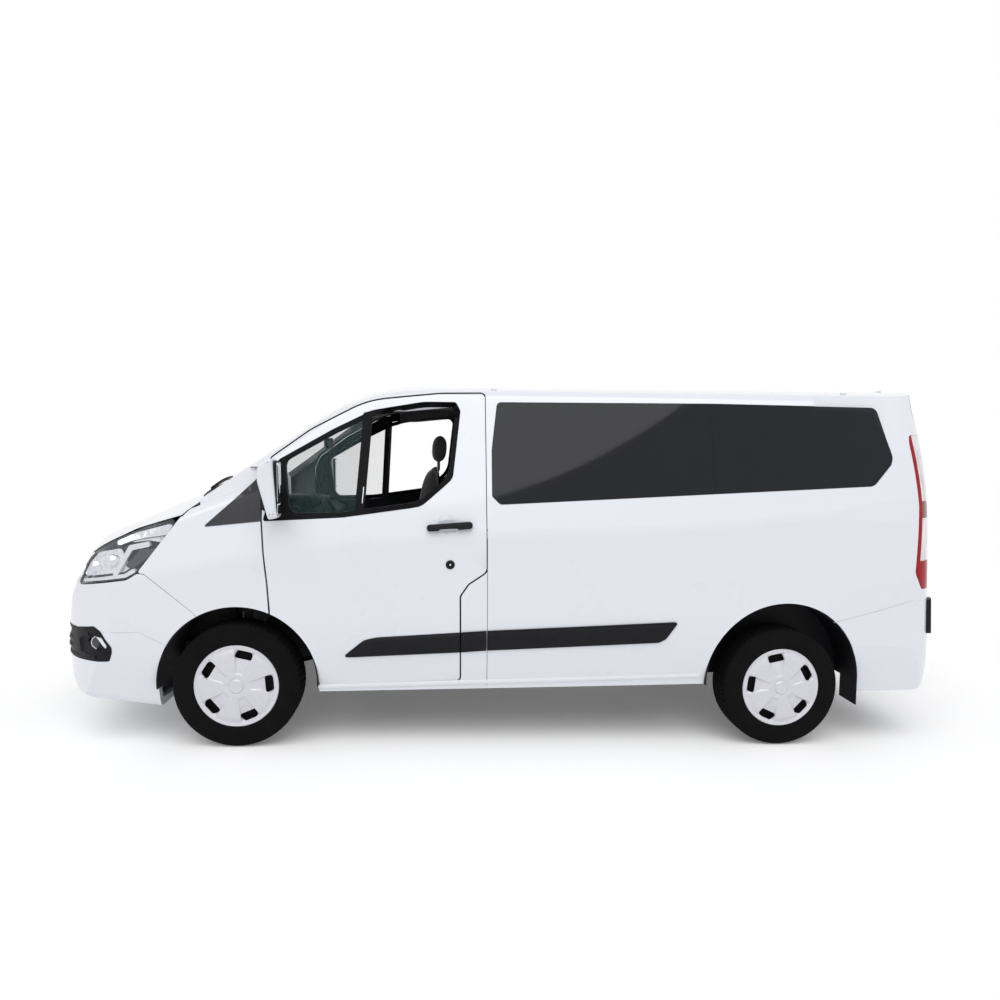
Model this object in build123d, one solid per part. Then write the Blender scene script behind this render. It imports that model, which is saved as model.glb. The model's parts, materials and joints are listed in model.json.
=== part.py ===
"""Minibus: a nine-seat passenger van with two front doors, one sliding door and a tailgate.

Frame: +X forward, +Y to the van's left, +Z up, millimetres.  The origin is on the ground
below the middle of the vehicle's box.  The body is drawn level, with x = 0 halfway between
the axles, and is then set down nose-low on its springs by RAKE, as it stands unladen.
"""
from build123d import *
import math
import os

# ---- driving dimensions ---------------------------------------------------------------
WHEELBASE = 2933.0
WHEEL_PLANE = 867.0        # wheel centre plane from the middle
TYRE_R = 328.0
TYRE_W = 215.0
RIM_R = 203.0
RAKE = 1.37                # degrees, nose down

WALL = 70.0                # side wall and door, skin to lining
ROOF_WALL = 45.0
TAIL_WALL = 62.0
WING_WALL = 42.0
SKIN = 20.0                # outer layer of a door, which overlaps its smaller inner box
FIT = 0.3                  # between fixed pieces that seat on each other
RUN = 0.1                  # round a hinge pin or a wheel hub
DOOR_GAP = 8.5             # between an opening panel and its frame
REBATE = 24.0              # how much smaller a door's inner box is than its skin

ROOF_Z = 1977.0            # roof at the middle
CROWN_R = 4300.0           # roof and windscreen across the van
ROOF_END = (808.0, 1977.0)  # where the roof line would meet the screen line
SCREEN_SLOPE = 33.2        # degrees below level
ROOF_BEND = 1100.0
ROOF_EDGE_R = 90.0
WING_EDGE_R = 60.0
COWL_X = 1735.0
NOSE_AXIS = 350.0          # centre of the nose's curve in plan
SILL_Z = 312.0
FLOOR_Z = 500.0
FLOOR_T = 40.0
FIREWALL_X = 1480.0
WING_BACK_X = 1250.0
FRONT_ARCH = (1454.0, 371.0, 412.0)
REAR_ARCH = (-1485.0, 331.0, 436.0)
LINER_T = 6.0
SHUT_X = 157.0             # joint between front door and the side behind it

# body sections: x, half width, height of the shoulder, lean of the side above it
SECTIONS = [
    (-2700, 964, 1262, 0.262),
    (-1500, 990, 1232, 0.268),
    (200, 993, 1150, 0.272),
    (1150, 983, 1075, 0.275),
    (1900, 975, 950, 0.275),
    (2700, 966, 880, 0.270),
]
SECTION_TOP = 2300.0
BIG = 1200.0               # beyond the side of the van
UP = Vector(0, 0, 1)


# ---- drawing helpers ------------------------------------------------------------------
def corner(prev, here, following, radius):
    """Start, middle and end of the arc that rounds one corner of an outline."""
    back = (prev[0] - here[0], prev[1] - here[1])
    ahead = (following[0] - here[0], following[1] - here[1])
    a = math.hypot(*back)
    b = math.hypot(*ahead)
    d1 = (back[0] / a, back[1] / a)
    d2 = (ahead[0] / b, ahead[1] / b)
    half = math.acos(max(-1.0, min(1.0, d1[0] * d2[0] + d1[1] * d2[1]))) / 2
    cut = radius / math.tan(half)
    mid = (d1[0] + d2[0], d1[1] + d2[1])
    size = math.hypot(*mid)
    depth = radius / math.sin(half) - radius
    start = (here[0] + d1[0] * cut, here[1] + d1[1] * cut)
    end = (here[0] + d2[0] * cut, here[1] + d2[1] * cut)
    return start, (here[0] + mid[0] / size * depth, here[1] + mid[1] / size * depth), end


def outline(points, place, closed=True):
    """A wire through (u, v) or (u, v, radius) corners; place turns (u, v) into a point."""
    pts = [(p[0], p[1], p[2] if len(p) > 2 else 0) for p in points]
    n = len(pts)
    ends = []
    for i, (u, v, r) in enumerate(pts):
        if r <= 0 or (not closed and i in (0, n - 1)):
            ends.append(((u, v), None, (u, v)))
        else:
            ends.append(corner(pts[i - 1][:2], (u, v), pts[(i + 1) % n][:2], r))
    edges = []
    for i, (start, middle, end) in enumerate(ends):
        if middle:
            edges.append(Edge.make_three_point_arc(place(*start), place(*middle), place(*end)))
        if not closed and i == n - 1:
            break
        goal = ends[(i + 1) % n][0]
        if math.hypot(goal[0] - end[0], goal[1] - end[1]) > 1e-6:
            edges.append(Edge.make_line(place(*end), place(*goal)))
    return Wire(edges)


def inset(points, t):
    """The same outline moved inwards by t, or outwards where t is negative."""
    pts = [(p[0], p[1], p[2] if len(p) > 2 else 0) for p in points]
    n = len(pts)
    area = sum(pts[i][0] * pts[(i + 1) % n][1] - pts[(i + 1) % n][0] * pts[i][1] for i in range(n))
    side = 1 if area > 0 else -1
    moved = []
    for i in range(n):
        (ax, ay, _), (bx, by, r), (cx, cy, _) = pts[i - 1], pts[i], pts[(i + 1) % n]
        la = math.hypot(bx - ax, by - ay)
        lb = math.hypot(cx - bx, cy - by)
        n1 = (-(by - ay) / la * side, (bx - ax) / la * side)
        n2 = (-(cy - by) / lb * side, (cx - bx) / lb * side)
        dot = 1 + n1[0] * n2[0] + n1[1] * n2[1]
        turn = ((bx - ax) * (cy - by) - (by - ay) * (cx - bx)) * side
        radius = max(r - t, 0) if turn > 0 else max(r + t, 0)
        moved.append((bx + (n1[0] + n2[0]) / dot * t, by + (n1[1] + n2[1]) / dot * t,
                      radius if r > 0 else 0))
    return moved


def block(x0, x1, y0, y1, z0, z1):
    return Box(x1 - x0, y1 - y0, z1 - z0, align=Align.MIN).moved(Location((x0, y0, z0)))


def side_prism(points, y0=-BIG, y1=BIG):
    """A side-view outline (x, z) carried across the van from y0 to y1."""
    face = Face(outline(points, lambda u, v: Vector(u, y0, v)))
    return extrude(face, amount=y1 - y0, dir=(0, 1, 0))


def rear_prism(points, x0, x1):
    """A rear-view outline (y, z) carried along the van from x0 to x1."""
    face = Face(outline(points, lambda u, v: Vector(x0, u, v)))
    return extrude(face, amount=x1 - x0, dir=(1, 0, 0))


def plan_prism(points, z0, z1):
    """A plan outline (x, y) carried up from z0 to z1."""
    face = Face(outline(points, lambda u, v: Vector(u, v, z0)))
    return extrude(face, amount=z1 - z0, dir=(0, 0, 1))


def rod(a, b, radius):
    a, b = Vector(*a), Vector(*b)
    return Solid.make_cylinder(radius, (b - a).length, Plane(a, z_dir=(b - a)))


def cross_rod(x, z, radius, y0, y1):
    return rod((x, y0, z), (x, y1, z), radius)


def both(shape):
    """A piece and its mirror image on the right-hand side."""
    return [shape, shape.mirror(Plane.XZ)]


def solids(*shapes):
    out = []
    for s in shapes:
        out += solids(*s) if isinstance(s, (list, tuple)) else list(s.solids())
    return Compound(out)


def largest(shape):
    return max(shape.solids(), key=lambda s: s.volume)


# ---- the body's outer and inner forms -------------------------------------------------
def flanks(t=0):
    """The body's sides as one long tapered solid, inset by t."""
    wires = []
    for x, w, shoulder, lean in SECTIONS:
        half = [(w - 88 - t, 230), (w - 6 - t, 560, 1400), (w - 2 - t, shoulder, 160),
                (w - 2 - lean * (SECTION_TOP - shoulder) - t, SECTION_TOP)]
        left = [(-p[0],) + p[1:] for p in half[::-1]]
        wires.append(outline(half + left, lambda u, v, x=x: Vector(x, u, v)))
    return Solid.make_loft(wires)


def above(t=0):
    """Everything over the roof and windscreen: a crowned strip along the roof line."""
    r = CROWN_R - t
    top = ROOF_Z - t
    slope = math.radians(SCREEN_SLOPE)
    knee = ROOF_END[0] - t * math.tan(slope / 2)
    run = 1500
    path = outline([(-3200, top), (knee, top, ROOF_BEND - t), (knee + run, top - run * math.tan(slope))],
                   lambda u, v: Vector(u, 0, v), closed=False)
    half = 1300
    drop = r - math.sqrt(r * r - half * half)

    def at(y, z):
        return Vector(-3200, y, top + z)
    lid = 700
    strip = Wire([Edge.make_three_point_arc(at(-half, -drop), at(0, 0), at(half, -drop)),
                  Edge.make_line(at(half, -drop), at(half, lid)),
                  Edge.make_line(at(half, lid), at(-half, lid)),
                  Edge.make_line(at(-half, lid), at(-half, -drop))])
    return sweep(Face(strip), path=path, transition=Transition.TRANSFORMED)


NOSE_LINE = [(NOSE_AXIS, 150), (NOSE_AXIS, 1980), (2340, 1105, 200), (2475, 880, 400),
             (2518, 480, 300), (2462, 300, 120), (2100, 236), (1500, 150)]
PLAN_LINE = [(-2800, -1010), (-2800, 1010), (-1500, 994), (200, 997), (2289, 972, 400),
             (2640, 0), (2289, -972, 400), (200, -997), (-1500, -994)]
END_LINE = [(3000, 50), (3000, 1978.5), (-2258, 1978.5, 150), (-2342, 1866, 150), (-2460, 1520),
            (-2620, 900), (-2620, 560), (-2420, 300, 100), (-2330, 240), (-2330, 50)]
# the tail in plan at several heights: z, x of the corner, half width at the corner and ahead of it
TAIL_ROWS = [
    (150, -2440, 861, 880),
    (520, -2443, 947, 966),
    (850, -2415, 965, 984),
    (1250, -2394, 967, 983),
    (1700, -2377, 850, 863),
    (2100, -2365, 744.6, 756),
]
TAIL_CORNER_R = 200.0


def nose(t=0):
    """Bonnet and bumper line turned about an upright axis."""
    face = Face(outline(inset(NOSE_LINE, t) if t else NOSE_LINE, lambda u, v: Vector(u, 0, v)))
    axis = Axis((NOSE_AXIS, 0, 0), (0, 0, 1))
    return revolve(face, axis, revolution_arc=140).rotate(axis, -70)


def plan(t=0):
    return plan_prism(inset(PLAN_LINE, t) if t else PLAN_LINE, 100, 2050)


def ends(t=0):
    """Side-view limit that rounds the tail's top and tucks in its lower edge."""
    return side_prism(inset(END_LINE, t) if t else END_LINE)


def behind(t=0):
    """The space behind the tail, whose curve in plan leans with the body, moved inwards by t."""
    wires = []
    for z, x, corner_y, ahead_y in TAIL_ROWS:
        bow = (corner_y - 240) * corner_y / 75
        line = [(x + 700, ahead_y), (x + 47.5, corner_y, TAIL_CORNER_R), (x - 27.5, 0, bow),
                (x + 47.5, -corner_y, TAIL_CORNER_R), (x + 700, -ahead_y), (x + 700, -1400),
                (x - 700, -1400), (x - 700, 1400), (x + 700, 1400)]
        wires.append(outline(inset(line, -t) if t else line, lambda u, v, z=z: Vector(u, v, z)))
    return Solid.make_loft(wires)


def nearest_edges(shape, points):
    found = []
    for x, y, z in points:
        for side in (1, -1):
            goal = Vector(x, side * y, z)
            found.append(min(shape.edges(), key=lambda e: ((e @ 0.5) - goal).length))
    return found


def cabin_form():
    """Outer form of the cabin, back to the tail and down to the sills."""
    sides = flanks() & block(-2600, COWL_X, -BIG, BIG, 50, 2200)
    cabin = largest(sides - above())
    cabin = cabin.fillet(ROOF_EDGE_R, nearest_edges(cabin, [(-1060, 803, 1901)]))
    return largest((cabin & plan() & ends()) - behind())


def nose_form():
    """Outer form of bonnet, wings and bumper."""
    front = largest(flanks() & nose() & block(WING_BACK_X, 2700, -BIG, BIG, 0, 2000))
    front = front.fillet(WING_EDGE_R, nearest_edges(front, [(1653, 896, 1285)]))
    return largest(front & plan())


def cabin_space(side=WALL, roof=ROOF_WALL, rear=TAIL_WALL, front=FIREWALL_X):
    """The inside of the cabin, from floor height up."""
    room = flanks(side) & block(-2600, front, -BIG, BIG, 200, 2200)
    return largest(((room - above(roof)) & plan(rear) & ends(rear)) - behind(rear))


def nose_space(t):
    return largest(flanks(t) & nose(t) & plan(t) & block(FIREWALL_X + 40, 2700, -BIG, BIG, 200, 2000))


# ---- side-view outlines: x, z, corner radius ------------------------------------------
DOOR = [(1315, 1468, 30), (1315, 1234, 200), (1284, 900, 200), (1276, 760, 40), (1276, 742, 5),
        (1215, 700, 10), (1133, 587, 100), (1055, 450, 60), (1036, 344, 20), (299, 364, 20),
        (299, 829, 40), (254, 893, 30), (SHUT_X, 957, 40), (SHUT_X, 1895, 25), (393, 1891, 400),
        (779, 1851, 500), (1078, 1693, 400), (1272, 1551, 40)]
DOOR_WINDOW = [(312, 1848, 20), (288, 1801, 30), (331, 1440, 60), (497, 1296, 90),
               (905, 1240, 300), (1311, 1221, 12), (1239, 1538, 25), (962, 1698, 300),
               (753, 1802, 120), (486, 1848, 80)]
SIDE_WINDOW = [(124, 1593, 60), (92, 1848, 25), (-1092, 1851), (-2023, 1838, 40), (-2095, 1562, 60),
               (-2083, 1523, 20), (-1973, 1405, 60), (-1070, 1362), (82, 1307, 30), (125, 1350, 15)]
PANE_SPLIT = -1085.0
SLIDING = [(148, 340, 20), (148, 1890, 25), (-1082, 1896, 25), (-1082, 730, 60), (-1030, 570, 60),
           (-1015, 340, 20)]
BONNET = [(1648, 1345, 10), (1725, 1252, 20), (1960, 1183, 300), (2175, 1071, 60), (2240, 1040),
          (2500, 1040), (2500, 1600), (1648, 1600)]
HEADLAMP = [(1725, 1248, 20), (1960, 1179, 300), (2175, 1067, 60), (2240, 1036), (2500, 1036),
            (2500, 905), (2218, 902, 60), (1985, 929, 60), (1933, 962, 20)]
WING = [(1323.5, 1500), (1600, 1500), (1633, 1345, 5), (1725, 1248, 20), (1933, 962, 10),
        (1897, 957, 10), (1672, 763), (1454, 500), (1284.5, 742, 5), (1292.5, 900, 200),
        (1323.5, 1234, 200)]
BUMPER = [(1672, 760), (1897, 953, 10), (1933, 958, 20), (1985, 925, 60), (2218, 898, 60), (2600, 898),
          (2600, 200), (1800, 200), (1454, 371), (1600, 670)]
TAIL_LAMP = [(-2212, 1688, 20), (-2205, 1637, 20), (-2232, 1299, 300), (-2222, 925, 60),
             (-2274, 832, 20), (-2600, 832), (-2600, 1688)]
REAR_BUMPER = [(-1761, 652, 5), (-2215, 769, 5), (-2600, 769), (-2600, 200), (-1900, 200),
               (-1921, 318)]
STEP_T = 22.0
TAILGATE_HALF = 800.0
TAILGATE_LOW = 662.0
TAILGATE_HEAD_X = -2286.0
REAR_GLASS = [(-680, 1310, 60), (680, 1310, 60), (640, 1768, 60), (-640, 1768, 60)]
# plan outlines, x and y: the windscreen, and the line behind the bonnet
SCREEN_PLAN = [(905, -640, 40), (1355, -775, 600), (1650, -835, 40), (1707, 0, 2500), (1650, 835, 40),
               (1355, 775, 600), (905, 640, 40), (985, 0, 2500)]
BONNET_BACK = [(1650, -1100), (1650, -860), (1777, 0, 2700), (1650, 860), (1650, 1100),
               (2700, 1100), (2700, -1100)]


FOG = [(2600, 672), (2188, 664, 40), (2150, 625, 30), (2088, 548, 25), (2100, 500, 15), (2600, 512)]
STRIP = [(890, 509, 10), (787, 600, 20), (744, 612), (292, 633), (157, 640), (-866, 673, 6),
         (-872, 664), (-813, 580, 30), (-774, 561), (154, 533), (292, 525)]


def arch(ring, y0, t=0.0):
    """Left wheel arch opening outboard of y0, smaller in radius by t."""
    x, z, r = ring
    opening = cross_rod(x, z, r - t, y0, BIG)
    return opening + block(x - r + t, x + r - t, y0, BIG, -100, z)


# ---- shared forms ---------------------------------------------------------------------
FRONT_WELL_Y = 550.0       # inner side of the front wheel wells
REAR_WELL_Y = 690.0
ROOF_Y = 735.0             # half width of the roof panel
SCREEN_TOP_X = 690.0
BONNET_WALL = 45.0
GLASS_SET = 2.0            # glass below the skin
GLASS_T = 5.0
SEAT_LIP = 34.0            # flange that side glass is bonded to
SCREEN_BED = 9.0           # underside of the windscreen below the skin line
SCREEN_LIP = 22.0
RAIL_Y = (400.0, 500.0)    # chassis rails, inner and outer side
RAIL_Z = (400.0, FLOOR_Z)
HINGE = (1250.0, 962.0)    # front door hinge line, x and y
LEAF_R = 7.0
HINGE_Z = (800.0, 985.0)
TAIL_HINGE = (-2283.0, 1960.0)   # tailgate hinge line, x and z
TAIL_HINGE_Y = 350.0
BONNET_HINGE = (1630.0, 1333.0)
BONNET_RING_R = 9.0
BONNET_ARM_Y = 740.0
PIN_R = 5.0
POST_Y = 880.0             # front door post, outer side and top
POST_TOP = 1080.0
INTAKE_Y = 460.0
INTAKE_Z = (330.0, 520.0)
GRILLE_Y = 553.0
GRILLE_Z = (902.0, 1032.0)
HALF_BASE = WHEELBASE / 2
KINGPIN_Y = 790.0
KNUCKLE_Z = (200.0, 455.0)
HUB_R = 32.0
COVER_R = 231.0            # wheel cover, which laps over the tyre's bead
COVER_TURN = {"front": 13.0, "rear": -12.0}   # degrees, as the wheels stand
POCKET_FLOOR = [(-17, 78, 12), (17, 78, 12), (43, 192, 22), (-43, 192, 22)]
POCKET_MOUTH = [(-23, 71, 15), (23, 71, 15), (50, 199, 26), (-50, 199, 26)]
SLOT = [(-46, 147, 15), (46, 147, 15), (40, 191, 17), (-40, 191, 17)]
WHEEL_Y = 420.0            # steering wheel
WHEEL_AT = (985.0, WHEEL_Y, 1140.0)
WHEEL_LEAN = 28.0          # column below level, degrees
RACK = [(-1850.0, 1971.0), (150.0, 1923.5)]   # roof rack fixings on the ground frame, x and z
RACK_Y = 700.0
RACK_R = 4.0
RACK_DEPTH = 25.0
TOWBAR = [(-2300.0, 455.0), (-2100.0, 450.4)]  # tow bar fixings under the rails, x and z
TOWBAR_Y = 450.0
TOWBAR_R = 6.0
TOWBAR_DEPTH = 50.0

CABIN_OUTER = cabin_form()
NOSE_OUTER = nose_form()
CABIN = cabin_space()
SHELL = CABIN_OUTER - CABIN
FRONT_OPENING = arch(FRONT_ARCH, FRONT_WELL_Y)
REAR_OPENING = arch(REAR_ARCH, REAR_WELL_Y)
LEFT_SHELL = SHELL & block(-2600, 1400, 500, BIG, 200, 2100)
OPENING_SIDE = LEFT_SHELL & block(-2600, 1400, ROOF_Y + DOOR_GAP, BIG, 200, 2100)


def mirrored(shape):
    return shape.mirror(Plane.XZ)


def nose_ring(t):
    hollow = flanks(t) & nose(t) & plan(t) & block(WING_BACK_X - 10, 2800, -BIG, BIG, 0, 2000)
    return NOSE_OUTER - hollow


BUMPER_RING = nose_ring(BONNET_WALL)


def bonnet_zone(gap=0.0):
    back = plan_prism(inset(BONNET_BACK, -gap) if gap else BONNET_BACK, 900, 1700)
    return back & side_prism(inset(BONNET, -gap) if gap else BONNET)


def screen_hole(gap, lip):
    """Recess for the bonded windscreen, and the clear opening inside its flange."""
    recess = plan_prism(inset(SCREEN_PLAN, -gap), 1250, 2100) & above(SCREEN_BED + FIT)
    return recess + plan_prism(inset(SCREEN_PLAN, lip), 1250, 2100)


def tailgate_zone(gap=0.0):
    half = TAILGATE_HALF + gap
    shape = [(-half, TAILGATE_LOW - gap, 60), (half, TAILGATE_LOW - gap, 60),
             (half - 60, 2100), (60 - half, 2100)]
    return rear_prism(shape, -2600, TAILGATE_HEAD_X + gap)


def window_cut(shape, split=None):
    """Recess for bonded glass, and the clear openings inside its flange."""
    recess = side_prism(inset(shape, -1.5), 400, BIG) - flanks(GLASS_SET + GLASS_T + FIT)
    hole = side_prism(inset(shape, SEAT_LIP), 400, BIG)
    if split is not None:
        hole = hole - block(split - SEAT_LIP, split + SEAT_LIP, 400, BIG, 1200, 2000)
    return recess, hole


def glass_layer(zone):
    return (flanks(GLASS_SET) & zone) - flanks(GLASS_SET + GLASS_T)


def on_skin(zone, low, high):
    """A layer that stands between low and high proud of the side's skin."""
    return (flanks(-high) & zone) - flanks(-low)


# ---- fixed body -----------------------------------------------------------------------
def roof_panel():
    """Roof skin with the fixed halves of the tailgate hinges."""
    roof = SHELL & block(TAILGATE_HEAD_X + 6, SCREEN_TOP_X, -ROOF_Y, ROOF_Y, 1800, 2100)
    x, z = TAIL_HINGE
    for y in (TAIL_HINGE_Y, -TAIL_HINGE_Y):
        leaf = block(x, x + 45, y - 16, y + 16, z - 25, z) + cross_rod(x, z, 8, y - 16, y + 16)
        roof = roof + leaf + cross_rod(x, z, PIN_R, y - 50, y + 50)
    return roof


def bonnet_strap():
    """Moving half of a bonnet hinge, from the pin down and forward into the bonnet."""
    x, z = BONNET_HINGE
    line = [(-8, 0), (8, -3), (12, -24), (28, -30), (60, -45), (60, -62), (22, -50), (-4, -30)]
    y0, y1 = BONNET_ARM_Y - 4, BONNET_ARM_Y + 4
    strap = side_prism([(x + u, z + v) for u, v in line], y0, y1)
    return strap + cross_rod(x, z, BONNET_RING_R, y0, y1) - cross_rod(x, z, PIN_R + RUN, y0, y1)


def bonnet_bracket():
    """Fixed half of a bonnet hinge: two cheeks on the cowl and the pin through them."""
    x, z = BONNET_HINGE
    y = BONNET_ARM_Y
    inner = block(x - 16, x + 8, y - 14, y - 5, 1240, z + 6)
    outer = block(x - 16, x + 8, y + 5, y + 14, 1240, z + 6)
    return inner + outer + cross_rod(x, z, PIN_R, y - 14, y + 14)


def bonnet_pocket():
    """Room in the cowl for one bonnet hinge."""
    x = BONNET_HINGE[0]
    return block(x - 45, x + 110, BONNET_ARM_Y - 15, BONNET_ARM_Y + 15, 1250, 1450)


def hinge_leaf(z):
    """Fixed half of a front door hinge: an arm from the front post and its pin."""
    x, y = HINGE
    arm = block(x - LEAF_R, x + LEAF_R, POST_Y - 1, y, z - 12, z + 12)
    return arm + rod((x, y, z - 12), (x, y, z + 12), LEAF_R) + rod((x, y, z - 30), (x, y, z + 30), PIN_R)


def body_frame():
    """Firewall, cowl, pillars, header, cant rails and front sills."""
    zone = SHELL & block(SHUT_X - 4, FIREWALL_X + 40, -BIG, BIG, SILL_Z, 2100)
    cowl = CABIN_OUTER - plan_prism(inset(BONNET_BACK, -DOOR_GAP), 900, 1700)
    cowl = cowl & block(FIREWALL_X + 30, COWL_X, -BIG, BIG, 1190, 1700)
    zone = zone + cowl
    zone = zone - side_prism(inset(DOOR, -DOOR_GAP))
    roof_cut = block(-3000, SCREEN_TOP_X + FIT, -ROOF_Y - FIT, ROOF_Y + FIT, 1700, 2100)
    zone = zone - roof_cut - screen_hole(3, SCREEN_LIP) - bonnet_pocket() - mirrored(bonnet_pocket())
    zone = zone - block(1400, 1600, -FRONT_WELL_Y - 5, FRONT_WELL_Y + 5, 200, FLOOR_Z)
    wing_side = block(1270, COWL_X + 5, 500, BIG, 600, 1700) - flanks(WING_WALL + FIT)
    wing_side = wing_side & side_prism(inset(WING, -FIT))
    post = block(1212, 1345, 780, POST_Y, 790, POST_TOP) + block(1324, FIREWALL_X + 5, 780, 925, 790, 1015)
    post = post + block(1324, FIREWALL_X + 5, 780, 905, 1000, POST_TOP)
    post = post + hinge_leaf(HINGE_Z[0]) + hinge_leaf(HINGE_Z[1]) + bonnet_bracket()
    for s in (0, 1):
        def flip(q):
            return mirrored(q) if s else q
        zone = zone - flip(FRONT_OPENING) - flip(wing_side) + flip(post)
    return zone


def front_wings():
    skin = nose_ring(WING_WALL) & side_prism(WING, 700, BIG) & block(1200, 2400, 700, BIG, 300, 1700)
    shelf = flanks(WING_WALL) & block(1200, COWL_X, 0, BIG, 300, 1700)
    skin = largest(skin - shelf - FRONT_OPENING - bonnet_zone(DOOR_GAP))
    return solids(both(skin))


def side_panels():
    side = LEFT_SHELL - block(-3000, 3000, -ROOF_Y - FIT, ROOF_Y + FIT, 1750, 2100)
    side = side & block(-2600, SHUT_X - 4 - FIT, 0, BIG, SILL_Z, 2100)
    side = side - REAR_OPENING - side_prism(inset(REAR_BUMPER, -FIT))
    side = side - tailgate_zone(6.0) - side_prism(inset(TAIL_LAMP, -FIT))
    recess, hole = window_cut(SIDE_WINDOW, PANE_SPLIT)
    left = largest(side - recess - hole)
    right = mirrored(largest(left - side_prism(inset(SLIDING, -5), 400, BIG)))
    door = OPENING_SIDE & side_prism(SLIDING, 400, BIG)
    door = mirrored(largest(door - recess - hole))
    return left, right, door


def side_glass():
    panes = glass_layer(side_prism(SIDE_WINDOW, 400, BIG))
    left = panes - block(PANE_SPLIT - 1, PANE_SPLIT + 1, 400, BIG, 1200, 2000)
    right = panes - block(PANE_SPLIT - 12, PANE_SPLIT + 12, 400, BIG, 1200, 2000)
    return solids(left, mirrored(right))


def windscreen():
    return (plan_prism(SCREEN_PLAN, 1250, 2100) & above(SCREEN_BED)) - above(SCREEN_BED - 6)


def floor_pan():
    """Floor, its chassis rails, and the wells cut for the wheels."""
    slab = flanks(WALL + FIT) & block(-2440, FIREWALL_X - FIT, -BIG, BIG, FLOOR_Z, FLOOR_Z + FLOOR_T)
    for opening in (arch(FRONT_ARCH, FRONT_WELL_Y, -FIT), arch(REAR_ARCH, REAR_WELL_Y, -FIT)):
        slab = slab - opening - mirrored(opening)
    rail = block(-2440, 2330, *RAIL_Y, *RAIL_Z)
    return largest((slab + rail + mirrored(rail)) - behind(TAIL_WALL + FIT))


def arch_liners():
    out = []
    for ring, y0, back in ((FRONT_ARCH, FRONT_WELL_Y, False), (REAR_ARCH, REAR_WELL_Y, True)):
        x, z, r = ring
        outer = cross_rod(x, z, r - FIT, y0, 955)
        inner = cross_rod(x, z, r - FIT - LINER_T, y0 + (LINER_T if back else -1), 956)
        liner = (outer - inner) & block(x - 500, x + 500, 0, BIG, z - 20, 1000)
        if back:
            liner = liner + block(x - r + FIT, x - r + FIT + LINER_T, 770, 955, z - 150, z + 5)
            liner = liner - block(x - 70, x + 90, y0 - 5, y0 + 20, 0, z + 60)
        else:
            liner = liner - block(1200, 1320, 915, 960, 600, 900)
        out += both(largest(liner))
    return solids(out)


def side_trims():
    """Rubbing strips on the fixed panels, and the sliding door's rail cover."""
    layer = on_skin(side_prism(STRIP, 800, BIG), FIT, 9)
    rear = layer & block(-1000, 152, 800, BIG, 400, 800)
    post = layer & block(159, 290, 800, BIG, 400, 800)
    rail = on_skin(side_prism([(-2080, 1212, 5), (-1125, 1212, 5), (-1125, 1232, 5), (-2080, 1232, 5)],
                              800, BIG), FIT, 5)
    return solids(both(rear), both(post), mirrored(rail))


# ---- front and rear ends --------------------------------------------------------------
def bonnet():
    lid = largest(nose_ring(BONNET_WALL) & bonnet_zone())
    strap = bonnet_strap()
    return lid + strap + mirrored(strap)


def front_bumper():
    ring = BUMPER_RING & side_prism(BUMPER) & block(1560, 2800, -BIG, BIG, 240, 1000)
    for s in (0, 1):
        ring = ring - (mirrored(FRONT_OPENING) if s else FRONT_OPENING)
        fog = side_prism(FOG, 600, BIG)
        ring = ring - (mirrored(fog) if s else fog)
    return largest(ring - block(2200, 2700, -INTAKE_Y, INTAKE_Y, *INTAKE_Z))


def grille(half, low, high, bars, ring):
    """Horizontal bars between end posts, following the nose."""
    plate = ring & block(2100, 2700, -half, half, low, high)
    pitch = (high - low) / bars
    for i in range(bars):
        middle = low + (i + 0.5) * pitch
        plate = plate - block(2000, 2700, 14 - half, half - 14,
                              middle - 0.28 * pitch + 2, middle + 0.28 * pitch)
    return plate


def front_grille():
    ring = (NOSE_OUTER & nose(8)) - nose(30)
    upper = grille(GRILLE_Y, *GRILLE_Z, 4, ring)
    lower = grille(INTAKE_Y - FIT, INTAKE_Z[0] + FIT, INTAKE_Z[1] - FIT, 5, ring)
    bezel = (BUMPER_RING & side_prism(inset(FOG, FIT), 600 + FIT, BIG)) - (NOSE_OUTER - nose(6))
    return solids(upper, lower, both(largest(bezel)))


def headlamps():
    far = block(1600, 2800, GRILLE_Y + FIT, BIG, 800, 1400)
    lamp = BUMPER_RING & side_prism(inset(HEADLAMP, 2.0), 400, BIG) & far
    seat_layer = BUMPER_RING & nose(12) & flanks(12) & side_prism(inset(HEADLAMP, FIT), 400, BIG) & far
    lamp = lamp + seat_layer
    return solids(both(largest(lamp)))


def tail_lamps():
    lamp = LEFT_SHELL & side_prism(TAIL_LAMP, 400, BIG)
    return solids(both(largest(lamp - tailgate_zone(6.3))))


def rear_bumper():
    ring = SHELL & side_prism(REAR_BUMPER) & block(-2600, -1700, -BIG, BIG, 240, 800)
    return largest(ring - REAR_OPENING - mirrored(REAR_OPENING) - tailgate_zone(6.0))


def rear_step():
    """Tread pad on the bumper, turned up at both ends beside the tailgate."""
    pad = [(-900, 765, 10), (-815, 765, 10), (-815, 650, 10), (815, 650, 10), (815, 765, 10), (900, 765, 10),
           (900, 565, 20), (-900, 565, 20)]
    return largest((rear_prism(pad, -2600, -2100) & behind(-FIT)) - behind(-STEP_T))


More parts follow.
